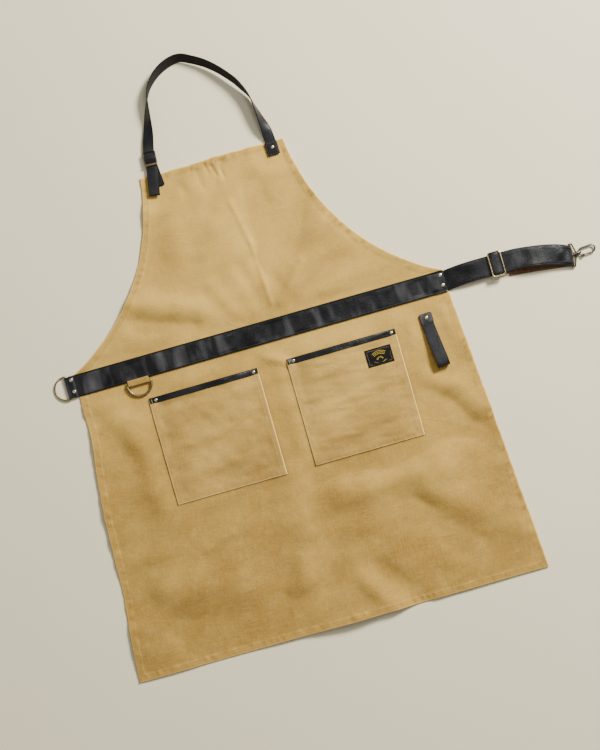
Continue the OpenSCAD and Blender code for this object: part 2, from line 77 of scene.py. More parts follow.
CANVAS_T = 1.6
BIB_HALF = 124.0
BIB_TOP = body_hi[1]
HEM_LOW = body_lo[1]
WAIST_HALF = 320.0
SKIRT_HALF = body_hi[0]
BELT_HALF = belt_hi[1]
HEM_STITCH = 8.6
POCKET_W = right_hi[0] - right_lo[0]
POCKET_H = right_hi[1] - right_lo[1]
MOUTH_Y = right_hi[1]
SIDE_BAR = np.array([-334.2, 0.0, 3.0])
TOOL_BAR = np.array([-218.2, -24.0, 4.75])
TOWEL_AT = np.array([270.8, -61.9, 0.0])
TOWEL_TURN = math.radians(5.6)
BUCKLE_AT = np.array([-98.0, 330.0, 4.25])
BUCKLE_TURN = math.radians(-4)
ADJUSTER_AT = np.array([407.0, 3.0, 0.0])
FOLD_AT = np.array([530.5, -17.5, 3.55])
FOLD_TURN = math.radians(-5)
STRAP_W = 34.5
NECK_W = 18.0

# Routes of the straps in the CAD part: x, y, z, roll in degrees
NECK_ROUTE = [
    (102, 308.5, 3.4, 0), (100.5, 325, 7.5, 22), (97.3, 342, 11.5, 52),
    (92.5, 366, 14.5, 78), (88.6, 384, 15.5, 90), (80, 402, 16, 106),
    (70, 418, 16, 114), (52, 439, 15, 118), (33, 456, 13.5, 124),
    (13, 468.5, 12, 128), (-6, 477, 11, 130), (-26.5, 474.5, 10.5, 130),
    (-48, 463.5, 10.5, 122), (-65, 446.5, 10.8, 105), (-73.5, 430.5, 11, 90),
    (-81.6, 403, 9.8, 60), (-89, 372, 7.2, 24), (-94.8, 352, 4.6, 4),
    (-97, 341, 4.4, 0), (-98, 330, 8.0, 0), (-99, 319, 4.6, 0),
    (-100.5, 306, 5.6, 0), (-103, 292, 6.8, 0), (-107.2, 268, 6.6, 0),
]
STRAP_ROUTE = [
    (300, 0, 2.3, 0), (311, 0, 2.3, 0), (321.5, 0, 3, 0), (336, 1.4, 5.4, 0),
    (360, 2.6, 8.5, 0), (395, 2.6, 8.5, 0), (430, 2.6, 8.5, 0), (448, 1.6, 11, -6),
    (468, -1, 12.6, -9), (490, -5, 12, -5), (508, -9.6, 9.7, -1),
]

REST_LIFT = 3.4
SOFT = 0.5  # how gently the cloth meets the table
FOLD_DEPTH = 2.5
# Soft creases in the cloth: start, end, half-width and height as a share of FOLD_DEPTH
CREASES = [
    ((-318, -352), (-235, -470), 34, -2.4), ((-235, -470), (-107, -462), 30, -2.2),
    ((-107, -456), (-50, -360), 30, -2.4), ((-275, -372), (-150, -392), 36, 2.6),
    ((-195, 68), (-112, 38), 16, -2.4), ((-193, 104), (-88, 68), 19, 2.2),
    ((-14, 296), (-11, 280), 3.0, -0.55), ((-4, 290), (1, 274), 3.4, -0.6),
    ((10, 283), (12, 268), 3.0, -0.45), ((-30, 286), (-27, 262), 6, -0.5),
    ((3, 292), (5, 262), 6, 0.4), ((-74, 284), (-58, 262), 9, -0.9),
    ((10, 225), (24, 150), 5, 0.5), ((24, 150), (30, 44), 4.5, 0.6),
    ((30, 120), (62, 36), 12, -1.0), ((-6, 118), (16, 36), 11, -0.8),
    ((96, 96), (46, 40), 8, 1.0), ((150, 150), (82, 100), 12, 1.0),
    ((-30, 215), (-76, 150), 16, -0.9), ((-60, 100), (-24, 30), 12, 0.8),
    ((52, 236), (48, 120), 22, -1.8), ((128, 214), (86, 110), 20, -2.0),
    ((168, 120), (60, 52), 18, 1.8), ((-84, 262), (-100, 170), 24, 1.4),
    ((30, -252), (150, -262), 22, -2.4), ((150, -262), (262, -240), 24, -2.2),
    ((60, -292), (220, -300), 26, 2.4), ((235, -180), (305, -262), 22, -2.2),
    ((262, -140), (318, -214), 20, 1.8), ((50, -440), (98, -511), 16, 2.0),
    ((84, -430), (140, -500), 17, -1.8), ((-184, -322), (-139, -308), 9, 1.1),
    ((-20, -250), (-44, -420), 30, 2.0), ((200, -330), (322, -420), 24, 1.8),
    ((168, -352), (260, -452), 30, -2.0), ((-250, -120), (-238, -230), 22, 1.8),
    ((14, -50), (10, -200), 15, 0.9), ((-310, -70), (-262, -150), 22, -1.8),
    ((230, 26), (120, 34), 9, 1.0), ((-10, -34), (30, -60), 8, 1.3),
]
# Places that stay flat because something is fixed there: x, y, radius
FLAT_SPOTS = [
    (103, 291, 24), (-98, 286, 28), (-218, -36, 30), (271, -56, 18), (273, -90, 22),
    (276, -124, 26), (316, 0, 30), (-325, 0, 26),
]


# ---------------------------------------------------------------- small numeric helpers
def smooth(a, b, x):
    t = np.clip((np.asarray(x, float) - a) / (b - a), 0, 1)
    return t * t * (3 - 2 * t)


def bell(away, width):
    """1 at no distance, falling smoothly to nothing over about twice the width."""
    return np.exp(-(away / width) ** 2)


def nearest(places, value):
    return int(np.argmin(abs(places - value)))


def unit(v):
    return v / np.maximum(np.linalg.norm(v, axis=-1, keepdims=True), 1e-9)


def ripple(x, y, seed, size, lean=0.0, stretch=1.0, count=12):
    """Soft irregular waves about size across, longer by stretch along the lean direction."""
    draw = np.random.default_rng(seed)
    c, s = math.cos(math.radians(lean)), math.sin(math.radians(lean))
    along, across = (x * c + y * s) / stretch, y * c - x * s
    total = np.zeros(np.broadcast(x, y).shape)
    for _ in range(count):
        turn, scale = draw.uniform(0, 2 * math.pi), draw.uniform(0.7, 1.6)
        k = 2 * math.pi / (size * scale)
        total += np.cos(k * (math.cos(turn) * along + math.sin(turn) * across)
                        + draw.uniform(0, 2 * math.pi))
    return total / math.sqrt(count / 2)


def crease(x, y, start, end, half, height):
    (x0, y0), (x1, y1) = start, end
    dx, dy = x1 - x0, y1 - y0
    length = math.hypot(dx, dy)
    t = np.clip(((x - x0) * dx + (y - y0) * dy) / length**2, 0, 1)
    away = np.hypot(x - x0 - t * dx, y - y0 - t * dy)
    return height * bell(away, half)


def lift(x, y):
    """Height of the laid canvas above the table."""
    z = REST_LIFT + 1.1 * ripple(x, y, 3, 190) + 0.70 * ripple(x, y, 5, 66, 16, 2.2)
    z = z + 0.26 * ripple(x, y, 7, 27, 10, 2.0) + 0.07 * ripple(x, y, 9, 12, 14, 2.4, 16)
    for fold in CREASES:
        z = z + FOLD_DEPTH * crease(x, y, *fold)
    z = z + 7.5 * bell(x - 2, 78) * smooth(HEM_LOW + 70, HEM_LOW, y)
    z = z + 2.5 * bell(x - 200, 90) * smooth(HEM_LOW + 50, HEM_LOW, y)
    calm = smooth(BELT_HALF + 1, BELT_HALF + 34, np.abs(y))
    for sx, sy, r in FLAT_SPOTS:
        calm = calm * smooth(r * 0.75, r * 1.9, np.hypot(x - sx, y - sy))
    calm = calm * (0.35 + 0.65 * smooth(0, 60, y - HEM_LOW) + 0.65 * bell(x - 40, 160)
                   * smooth(60, 0, y - HEM_LOW))
    # a soft floor: never under the table, and exactly on it where the cloth stays flat
    return SOFT * (np.logaddexp(0, z * calm / SOFT) - math.log(2) * (1 - np.clip(calm, 0, 1)))


def stops(length, step, fine=(0, 0.35, 0.9)):
    """Places from 0 to length, close together at both ends, where the sheet is rounded."""
    inner = np.linspace(fine[-1], length - fine[-1], max(2, int(round(length / step)) + 1))
    return np.concatenate([fine[:-1], inner, [length - f for f in fine[-2::-1]]])


def rounded(places, radius=0.9):
    """Share of the full thickness at each place, falling towards both ends."""
    d = np.minimum(places - places[0], places[-1] - places)
    t = 1 - np.clip(d / radius, 0, 1)
    return np.sqrt(np.maximum(1 - t * t, 0.05))


def curve_through(points, per=8):
    """Smooth curve through the points, whatever their number of columns."""
    p = np.array(points, float)
    out = []
    for i in range(len(p) - 1):
        a, b, c, d = p[max(i - 1, 0)], p[i], p[i + 1], p[min(i + 2, len(p) - 1)]
        for t in np.arange(per) / per:
            out.append(0.5 * (2 * b + (c - a) * t + (2 * a - 5 * b + 4 * c - d) * t * t
                              + (3 * b - a - 3 * c + d) * t**3))
    return np.array(out + [p[-1]])


def rolled_frame(route, per=8):
    """Centre line of a rolled strap and the direction across it at each place."""
    path = curve_through(route, per)
    centre, roll = path[:, :3], np.radians(path[:, 3])[:, None]
    ahead = unit(np.gradient(centre, axis=0))
    flat = unit(np.cross(UP, ahead))
    return centre, np.cos(roll) * flat + np.sin(roll) * np.cross(ahead, flat)


# ---------------------------------------------------------------- meshes
def new_object(name, points, faces, materials, face_slots=None, shades=None):
    """Mesh object from points in millimetres, without those that no face uses."""
    mesh = bpy.data.meshes.new(name)
    points = np.asarray(points)
    used = np.unique(np.fromiter((v for f in faces for v in f), int))
    place = np.zeros(len(points), int)
    place[used] = np.arange(len(used))
    place = place.tolist()
    mesh.from_pydata((points[used] * MM).tolist(), [], [[place[v] for v in f] for f in faces])
    for m in materials:
        mesh.materials.append(m)
    if face_slots is not None:
        mesh.polygons.foreach_set("material_index", np.asarray(face_slots, np.int32))
    mesh.shade_smooth()
    for key, values in (shades or {}).items():
        mesh.attributes.new(key, "FLOAT", "POINT").data.foreach_set(
            "value", np.asarray(values, np.float32).ravel()[used])
    obj = bpy.data.objects.new(name, mesh)
    bpy.context.scene.collection.objects.link(obj)
    return obj


def underside(n, m):
    """Faces of a sheet's underside, four grid squares to a face, all its rim points kept."""
    faces = []
    for i in range(0, n - 1, 2):
        for j in range(0, m - 1, 2):
            i2, j2 = min(i + 2, n - 1), min(j + 2, m - 1)
            ring = dict.fromkeys([(i, j), (i, j + 1), (i, j2), (i + 1, j2),
                                  (i2, j2), (i2, j + 1), (i2, j), (i + 1, j)])
            faces.append([n * m + a * m + b for a, b in ring
                          if (a in (i, i2) and b in (j, j2)) or a in (0, n - 1) or b in (0, m - 1)])
    return faces


def slab(name, mid, thickness, materials, face=None, shades=None, coarse=False):
    """Closed thin sheet round a grid of points; returns it and its outer face's grid.

    The outer face lies on the side of (first direction) x (second direction). face adds to
    the outer face's height. materials are for the outer face, the inner face and the edge.
    """
    n, m = mid.shape[:2]
    normal = unit(np.cross(np.gradient(mid, axis=0), np.gradient(mid, axis=1)))
    half = np.broadcast_to(np.asarray(thickness, float), (n, m))[..., None] / 2
    extra = 0 if face is None else face[..., None]
    outer, inner = mid + normal * (half + extra), mid - normal * half
    points = np.concatenate([outer.reshape(-1, 3), inner.reshape(-1, 3)])
    i, j = np.meshgrid(np.arange(n - 1), np.arange(m - 1), indexing="ij")
    a = (i * m + j).ravel()
    top = np.stack([a, a + m, a + m + 1, a + 1], 1)
    low = np.stack([a, a + 1, a + m + 1, a + m], 1) + n * m
    rim = np.concatenate([
        np.arange(m), np.arange(1, n) * m + m - 1,
        (n - 1) * m + np.arange(m - 2, -1, -1), np.arange(n - 2, 0, -1) * m,
    ])
    after = np.roll(rim, -1)
    edge = np.stack([rim, after, after + n * m, rim + n * m], 1)
    low = underside(n, m) if coarse else low.tolist()
    slots = np.concatenate([np.zeros(len(top)), np.full(len(low), 1), np.full(len(edge), 2)])
    slots = np.minimum(slots, len(materials) - 1)
    both = {k: np.concatenate([np.broadcast_to(v, (n, m)).ravel()] * 2)
            for k, v in (shades or {}).items()}
    faces = top.tolist() + low + edge.tolist()
    return new_object(name, points, faces, materials, slots, both), outer


def ring_faces(first, rows, sides, closed=False):
    """Faces of a tube round rings of points from first on, with its two ends closed."""
    faces = []
    for i in range(rows if closed else rows - 1):
        a, b = first + i * sides, first + (i + 1) % rows * sides
        faces += [(a + k, a + (k + 1) % sides, b + (k + 1) % sides, b + k) for k in range(sides)]
    if not closed:
        last = first + (rows - 1) * sides
        faces += [tuple(range(first, first + sides))[::-1], tuple(range(last, last + sides))]
    return faces


def tube(name, path, radius, material, closed=False, sides=12, flat=1.0):
    """Round wire along a path, or a turned shape where the radius is a list; flat presses it along Z."""
    p = np.array(path, float)
    ahead = unit(np.roll(p, -1, 0) - np.roll(p, 1, 0) if closed else np.gradient(p, axis=0))
    side = unit(np.cross(UP + [1e-4, 2e-4, 0], ahead))
    for k in range(1, len(p)):
        side[k] = unit(side[k - 1] - ahead[k] * np.dot(side[k - 1], ahead[k]))
    rise = np.cross(ahead, side)
    r = np.broadcast_to(np.asarray(radius, float), (len(p),))[:, None]
    rings = []
    for k in range(sides):
        t = 2 * math.pi * k / sides
        offset = math.cos(t) * side * r + math.sin(t) * rise * r
        rings.append(p + offset * [1, 1, flat])
    pts = np.stack(rings, 1).reshape(-1, 3)
    return new_object(name, pts, ring_faces(0, len(p), sides, closed), [material])


def lathe(name, profile, spots, material, segments=28):
    """The same turned shape at several places; profile is (radius, height) from the rim up."""
    pts, faces = [], []
    turns = [2 * math.pi * k / segments for k in range(segments)]
    for x, y, base in spots:
        faces += ring_faces(len(pts), len(profile), segments)
        pts += [(x + r * math.cos(t), y + r * math.sin(t), base + z) for r, z in profile for t in turns]
    return new_object(name, pts, faces, [material])


def stitches(name, seams, material, pitch=3.3, length=2.3, radius=0.34, sink=0.1):
    """Short thread lengths along seams; each seam is a line of points on a surface."""
    shares, sides = (0.45, 1.0, 1.0, 0.45), 6
    pts, faces = [], []
    for seam in seams:
        line = np.array(seam, float)
        run = np.concatenate([[0], np.cumsum(np.linalg.norm(np.diff(line, axis=0), axis=1))])
        for start in np.arange(pitch * 0.4, run[-1] - length, pitch):
            ends = [np.array([np.interp(start + d, run, line[:, k]) for k in range(3)])
                    for d in (0, length)]
            ahead = unit(ends[1] - ends[0])
            side = unit(np.cross(UP, ahead))
            rise = np.cross(ahead, side)
            faces += ring_faces(len(pts), len(shares), sides)
            for q, share in enumerate(shares):
                centre = ends[0] + (ends[1] - ends[0]) * (q / (len(shares) - 1))
                centre = centre + rise * (radius * (0.55 * share - 0.45) - sink)
                for k in range(sides):
                    t = 2 * math.pi * k / sides
                    pts.append(centre + radius * share * (math.cos(t) * side + math.sin(t) * rise))
    return new_object(name, pts, faces, [material])


def put(obj, body, slot, *nodes):
    """Ride a piece on a body and let it stand for CAD nodes, which it hides; slot is not used."""
    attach(obj, body)
    if nodes:
        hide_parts(*nodes)
    return obj


# ---------------------------------------------------------------- materials
class Nodes:
    """Short names for building one node material."""

    def __init__(self, name):
        self.material = bpy.data.materials.new(name)
        self.material.use_nodes = True
        self.tree = self.material.node_tree
        self.shader = self.tree.nodes["Principled BSDF"]
        self.place = self.node("TexCoord").outputs["Object"]

    def set(self, **values):
        for key, value in values.items():
            self.shader.inputs[key.replace("_", " ")].default_value = value
        return self

    def link(self, source, socket):
        self.tree.links.new(source, socket)

    def node(self, kind, where=None, **inputs):
        """New node with its input values, fed by a place in the object."""
        node = self.tree.nodes.new("ShaderNode" + kind)
        for key, value in inputs.items():
            node.inputs[key.replace("_", " ")].default_value = value
        if where is not None:
            self.link(where, node.inputs["Vector"])
        return node

    def stretched(self, x, y, z, turn=0.0):
        node = self.node("Mapping", self.place, Scale=(x, y, z), Rotation=(0, 0, math.radians(turn)))
        return node.outputs["Vector"]

    def noise(self, scale, detail=3.0, rough=0.55, where=None):
        node = self.node("TexNoise", where or self.place, Scale=scale, Detail=detail, Roughness=rough)
        return node.outputs["Fac"]

    def cells(self, scale):
        return self.node("TexVoronoi", self.place, Scale=scale).outputs["Distance"]

    def wave(self, scale, direction, distortion):
        node = self.node("TexWave", self.place, Scale=scale, Distortion=distortion, Detail=1.0)
        node.bands_direction = direction
        return node.outputs["Fac"]

    def attribute(self, name):
        node = self.node("Attribute")
        node.attribute_name = name
        return node.outputs["Fac"]

    def ramp(self, source, low, high, from_min=0.0, from_max=1.0):
        """Map a value from one range to another."""
        node = self.node("MapRange", From_Min=from_min, From_Max=from_max, To_Min=low, To_Max=high)
        self.link(source, node.inputs["Value"])
        return node.outputs["Result"]

    def math(self, kind, a, b=0):
        node = self.node("Math")
        node.operation = kind
        for socket, value in zip(node.inputs, (a, b)):
            if isinstance(value, (int, float)):
                socket.default_value = value
            else:
                self.link(value, socket)
        return node.outputs["Value"]

    def mix(self, share, a, b):
        node = self.node("Mix")
        node.data_type = "RGBA"
        for socket, value in ((node.inputs["Factor"], share), (node.inputs[6], a),
                              (node.inputs[7], b)):
            if isinstance(value, tuple):
                socket.default_value = (*value, 1.0)
            elif isinstance(value, float):
                socket.default_value = value
            else:
                self.link(value, socket)
        return node.outputs[2]

    def bump(self, *layers):
        """Stack of (height, strength, distance in metres)."""
        last = None
        for height, strength, distance in layers:
            node = self.node("Bump", Strength=strength, Distance=distance)
            self.link(height, node.inputs["Height"])
            if last is not None:
                self.link(last, node.inputs["Normal"])
            last = node.outputs["Normal"]
        self.link(last, self.shader.inputs["Normal"])

    def colour(self, source):
        self.link(source, self.shader.inputs["Base Color"])

    def roughness(self, source):
        self.link(source, self.shader.inputs["Roughness"])


def canvas_material(name, base, pale, deep, hem):
    """Washed cotton duck: slubs both ways, cloudy colour, worn pale edges, warm hems, painted highlights on
    hem puckers and painted shade from the dark attribute.
    """
    n = Nodes(name).set(Sheen_Weight=0.10, Sheen_Roughness=0.55, Specular_IOR_Level=0.16)
    warp = n.noise(1, 3, 0.7, n.stretched(800, 70, 300))
    weft = n.noise(1, 3, 0.7, n.stretched(70, 800, 300))
    slubs = n.math("ADD", n.ramp(warp, -0.5, 0.5), n.ramp(weft, -0.5, 0.5))
    specks = n.noise(330, 3, 0.7)
    clouds = n.math("ADD", n.ramp(n.noise(9, 4, 0.6), -0.30, 0.30, 0.32, 0.68), n.attribute("tone"))
    colour = n.mix(n.ramp(clouds, 0, 1, -0.12, 1.12), deep, base)
    colour = n.mix(n.ramp(n.noise(38, 4, 0.65), 0, 0.16, 0.48, 0.72), colour, pale)
    colour = n.mix(n.ramp(n.noise(26, 4, 0.6), 0.18, 0, 0.30, 0.50), colour, deep)
    colour = n.mix(n.ramp(slubs, 0.0, 0.30, -0.12, 0.3), colour, pale)
    colour = n.mix(n.ramp(specks, 0.22, 0, 0.32, 0.5), colour, deep)
    worn = n.math("MULTIPLY", n.attribute("hem"), n.ramp(n.noise(150, 3, 0.7), 0.25, 1, 0.35, 0.6))
    colour = n.mix(worn, colour, hem)
    # pale attribute: worn edges, and painted highlights on the hem's pucker crests
    colour = n.mix(n.attribute("pale"), colour, tuple(min(1, c * 1.25) for c in pale))
    # dark attribute: painted shade in pucker dips and stitch grooves, and painted shadow round the pockets
    # and under their trims
    colour = n.mix(n.attribute("dark"), colour, tuple(c * 0.42 for c in deep))
    n.colour(colour)
    n.roughness(n.ramp(slubs, 0.98, 0.84, -0.3, 0.4))
    wander = n.noise(1, 2, 0.5, n.stretched(9, 26, 20, 14))
    lines = n.math("ABSOLUTE", n.math("SUBTRACT", wander, 0.5))
    here = n.ramp(n.noise(16, 3), 0, 1, 0.50, 0.64)
    ridge = n.math("MULTIPLY", n.ramp(lines, 1, 0, 0.0, 0.026), here)
    n.bump((slubs, 0.35, 0.0005), (specks, 0.25, 0.0006), (n.noise(70, 4, 0.6), 0.32, 0.0018),
           (ridge, 0.15, 0.0016))
    return n.material


def leather_material(name, face, sheen, edge, rough=0.42, grain=620, depth=0.5, wear_and_sheen_streaks=0.0,
                     gloss=0.27):
    """Pebbled leather: painted cloudy sheen, grey streaks of wear and painted sheen, dark edge paint."""
    n = Nodes(name).set(Specular_IOR_Level=gloss)
    pebble = n.cells(grain)
    cloud = n.noise(30, 3, 0.6)
    # painted sheen: cloudy patches lighter than the face colour
    colour = n.mix(n.ramp(cloud, 0, 1, 0.36, 0.66), face, sheen)
    # grey streaks, partly wear from rubbing and partly painted sheen
    if wear_and_sheen_streaks:
        streak = n.noise(1, 2, 0.55, n.stretched(34, 9, 20, 12))
        colour = n.mix(n.ramp(streak, 0, wear_and_sheen_streaks, 0.50, 0.72), colour, (0.085, 0.081, 0.082))
    colour = n.mix(n.ramp(pebble, 0.5, 0, 0.0, 0.5), colour, tuple(c * 0.55 for c in face))
    colour = n.mix(n.attribute("edge"), colour, edge)
    n.colour(colour)
    n.roughness(n.math("ADD", n.ramp(cloud, rough - 0.08, rough + 0.12, 0.3, 0.7),
                       n.ramp(n.noise(400, 2), -0.05, 0.07)))
    n.bump((pebble, depth, 0.0004), (n.noise(150, 4, 0.6), 0.3, 0.0008))
    return n.material


def suede_material(name, base, pale):
    n = Nodes(name).set(Roughness=0.95, Sheen_Weight=0.35, Specular_IOR_Level=0.12)
    n.colour(n.mix(n.ramp(n.noise(160, 5, 0.7), 0, 1, 0.35, 0.65), base, pale))
    n.bump((n.noise(900, 4, 0.7), 0.5, 0.0004))
    return n.material


def metal_material(name, base, dark, rough, spots=130):
    """Aged plated metal: tarnish in clouds, fine scratches."""
    n = Nodes(name).set(Metallic=1.0)
    tarnish = n.noise(spots, 4, 0.65)
    n.colour(n.mix(n.ramp(tarnish, 0, 1, 0.38, 0.66), base, dark))
    scratch = n.noise(1, 2, 0.6, n.stretched(400, 3200, 1200, 30))
    n.roughness(n.math("ADD", n.ramp(tarnish, rough, rough + 0.16, 0.35, 0.7),
                       n.ramp(scratch, -0.05, 0.05)))
    n.bump((scratch, 0.10, 0.0001), (tarnish, 0.08, 0.0003))
    return n.material


def thread_material(name, base, dark):
    n = Nodes(name).set(Roughness=0.75, Sheen_Weight=0.2)
    n.colour(n.mix(n.ramp(n.noise(700, 2), 0, 1, 0.35, 0.65), base, dark))
    n.bump((n.wave(1500, "DIAGONAL", 0.0), 0.35, 0.0002))
    return n.material


CANVAS = canvas_material("canvas", (0.62, 0.385, 0.080), (0.72, 0.495, 0.145),
                         (0.33, 0.182, 0.032), (0.48, 0.270, 0.044))
POCKET = canvas_material("pocket_canvas", (0.60, 0.375, 0.084), (0.70, 0.485, 0.155),
                         (0.33, 0.184, 0.036), (0.56, 0.33, 0.064))
BELT = leather_material("black_leather", (0.0040, 0.0040, 0.0048), (0.009, 0.009, 0.0105),
                        (0.0020, 0.0020, 0.0022), 0.38, wear_and_sheen_streaks=0.9)
STRAP = leather_material("strap_leather", (0.0040, 0.0040, 0.0045), (0.008, 0.008, 0.009),
                         (0.0020, 0.0020, 0.0022), 0.38, 480, 0.7, wear_and_sheen_streaks=0.5)
NECK = leather_material("neck_leather", (0.008, 0.008, 0.009), (0.018, 0.018, 0.020),
                        (0.0025, 0.0025, 0.0025), 0.38, 700, 0.3)
NECK_BACK = leather_material("neck_back", (0.010, 0.0085, 0.0075), (0.018, 0.0155, 0.014),
                             (0.006, 0.005, 0.004), 0.75, 900, 0.3)
TRIM = leather_material("trim_leather", (0.0040, 0.0040, 0.0048), (0.009, 0.009, 0.0105),
                        (0.0018, 0.0018, 0.0018), 0.30, 800, 0.3, gloss=0.5)
SUEDE = suede_material("suede", (0.120, 0.058, 0.026), (0.20, 0.105, 0.050))
BRASS = metal_material("antique_brass", (0.42, 0.315, 0.160), (0.16, 0.108, 0.052), 0.33)
BRONZE = metal_material("dark_bronze", (0.15, 0.115, 0.070), (0.05, 0.037, 0.024), 0.34)
PALE_BRASS = metal_material("pale_brass", (0.74, 0.61, 0.33), (0.46, 0.34, 0.15), 0.22)
RIVET = metal_material("rivet_brass", (0.86, 0.79, 0.60), (0.62, 0.52, 0.33), 0.20)
NICKEL = metal_material("dark_nickel", (0.22, 0.20, 0.17), (0.08, 0.07, 0.058), 0.26)
TAN_THREAD = thread_material("tan_thread", (0.46, 0.285, 0.085), (0.34, 0.20, 0.055))
GREY_THREAD = thread_material("grey_thread", (0.20, 0.19, 0.175), (0.10, 0.095, 0.09))
BLACK_THREAD = thread_material("black_thread", (0.006, 0.006, 0.0065), (0.018, 0.018, 0.020))
GOLD_THREAD = thread_material("gold_thread", (0.85, 0.62, 0.045), (0.62, 0.42, 0.030))
CREAM_THREAD = thread_material("cream_thread", (0.62, 0.50, 0.29), (0.42, 0.32, 0.17))


# ---------------------------------------------------------------- canvas body
def armhole_x(y):
    """Half-width of the apron above the belt: a cubic from the bib's corner to the waist."""
    nodes = np.array([[BIB_HALF, BIB_TOP], [BIB_HALF + 11, BIB_TOP * 0.67],
                      [2 * WAIST_HALF * 0.292, BIB_TOP * 0.28], [WAIST_HALF, BELT_HALF]])
    t = np.linspace(0, 1, 400)[:, None]
    curve = ((1 - t) ** 3 * nodes[0] + 3 * (1 - t) ** 2 * t * nodes[1]
             + 3 * (1 - t) * t * t * nodes[2] + t**3 * nodes[3])
    return np.interp(y, curve[::-1, 1], curve[::-1, 0])


def half_width(y):
    skirt = WAIST_HALF + (SKIRT_HALF - WAIST_HALF) * (-BELT_HALF - y) / (-BELT_HALF - HEM_LOW)
    return np.where(y > BELT_HALF, armhole_x(y), np.where(y > -BELT_HALF, WAIST_HALF, skirt))


def left_half_width(y):
    """The left skirt edge bows in a little below the belt."""
    return half_width(y) - (4.6 * bell(y + 95, 42)
                            + 3.0 * bell(y + 355, 60)
                            - 1.2 * bell(y + 226, 34))


def canvas_tone(x, y):
    """How pale the canvas colour is: most on the bib, less low on the skirt and on the left."""
    up = smooth(-520, 330, y)
    return np.clip(up - 0.10 * smooth(-60, -330, x) + 0.10 * ripple(x, y, 17, 150), 0, 1)


BAND = [0, 0.35, 0.9, 2.0, 3.6, 5.4, 7.2, HEM_STITCH, 9.8, 10.9, 11.7, 13.4, 16]
HEM_LINE = BAND.index(HEM_STITCH)


def canvas_body():
    """The laid canvas with its turned hems; returns it and its lines of stitching."""
    rows = np.concatenate([
        HEM_LOW + np.array(BAND), np.arange(HEM_LOW + 19, BIB_TOP - 18, 2.9),
        BIB_TOP - np.array(BAND[::-1])])
    edge_right, edge_left = half_width(rows), left_half_width(rows)
    lean = [np.sqrt(1 + np.minimum(np.gradient(e, rows) ** 2, 5.5)) for e in (edge_right, edge_left)]
    bands = [np.array(BAND)[None, :] * k[:, None] for k in lean]
    left = -edge_left[:, None] + bands[1]
    right = edge_right[:, None] - bands[0][:, ::-1]
    share = np.linspace(0, 1, 232)[None, 1:-1]
    middle = left[:, -1:] * (1 - share) + right[:, :1] * share
    x = np.concatenate([left, middle, right], 1)
    y = np.broadcast_to(rows[:, None], x.shape).copy()
    to_left = np.clip((x + edge_left[:, None]) / lean[1][:, None], 0, 99)
    to_right = np.clip((edge_right[:, None] - x) / lean[0][:, None], 0, 99)
    to_top, to_low = BIB_TOP - y, y - HEM_LOW
    side = np.minimum(to_left, to_right)
    end = np.minimum(to_top, to_low)
    inside = np.minimum(side, end)
    run = np.where(side < end, y, x)
    pucker = ripple(run + 0.35 * inside, inside * 0, 11, 12, count=16)
    ticks = np.clip(ripple(run + 0.5 * inside, inside * 0, 13, 9, count=14) - 0.45, 0, 1.1)
    patchy = np.clip(0.55 + 0.4 * ripple(x, y, 14, 30), 0, 1)
    hem = 1 - smooth(9.6, 13.0, inside)
    near = bell(inside - HEM_STITCH, 4.4)
    face = 0.62 * hem + (0.26 * pucker - 0.5 * ticks) * near
    face -= 0.24 * bell(inside - HEM_STITCH, 1.0)
    face *= smooth(0, 0.8, inside) * smooth(BELT_HALF - 3, BELT_HALF + 3, np.abs(y))
    on_tab = np.zeros_like(x)
    for tx, half in ((102.3, 14), (-98, 15)):
        on_tab = np.maximum(on_tab, 1 - smooth(half, half + 5, np.abs(x - tx)))
    face *= 1 - on_tab * smooth(BIB_TOP - 30, BIB_TOP - 27, y)
    wavy = 0.9 * ripple(x, 0 * x, 21, 90) + 0.35 * ripple(x, 0 * x, 22, 26)
    y += wavy * smooth(BIB_TOP - 26, BIB_TOP, y) * smooth(BIB_HALF - 8, BIB_HALF - 45, np.abs(x))
    scallop = 0.22 * ripple(y, 0 * y, 23, 13)
    x += np.where(to_left < 8, -scallop, 0) + np.where(to_right < 8, scallop, 0)
    z = lift(x, y) + CANVAS_T / 2
    thick = CANVAS_T * rounded(rows)[:, None] * np.sqrt(
        np.maximum(1 - (1 - np.clip(side / 0.9, 0, 1)) ** 2, 0.05))
    hem_warm = hem * smooth(0.4, 3, inside) * (0.25 + 0.55 * patchy + 0.15 * pucker)
    pale = 0.7 * bell(inside - 0.5, 1.1) + 0.10 * patchy * bell(inside - 11.8, 1.0)
    # painted highlight on the crests of the hem's puckers
    pale += 0.16 * np.clip(pucker, 0, 1.5) * near * patchy
    # painted shade: darker in the hem's pucker dips and along its stitch groove
    shade = 0.42 * ticks * bell(inside - 6, 4.0) * (0.4 + 0.6 * patchy)
    shade += 0.07 * bell(inside - HEM_STITCH, 0.8)
    # painted contact shadow on the canvas round each pocket's sides and bottom
    for x0 in (panel_lo[0], right_lo[0]):
        aside = np.hypot(np.maximum(np.maximum(x0 - x, x - x0 - POCKET_W), 0),
                         np.maximum(MOUTH_Y - POCKET_H - y, 0))
        shade += 0.34 * bell(aside, 2.4) * (aside > 0) * (y < MOUTH_Y)
    shades = {"hem": hem_warm, "pale": pale, "dark": shade, "tone": canvas_tone(x, y)}
    # rows run up the apron and columns to the right, so (columns x rows) points up
    obj, outer = slab("canvas_cloth", np.stack([x.T, y.T, z.T], -1), thick.T, [CANVAS], face.T,
                      {key: values.T for key, values in shades.items()}, True)
    seams = []
    for column in (HEM_LINE, outer.shape[0] - 1 - HEM_LINE):
        line = outer[column]
        for keep in (line[:, 1] > BELT_HALF + 4, line[:, 1] < -BELT_HALF - 3):
            seams.append(line[keep])
    for row in (HEM_LINE, outer.shape[1] - 1 - HEM_LINE):
        seams.append(outer[HEM_LINE:outer.shape[0] - HEM_LINE, row])
    top = seams[-1]
    seams[-1] = top[(top[:, 0] > -80) & (top[:, 0] < 88)]
    return obj, seams


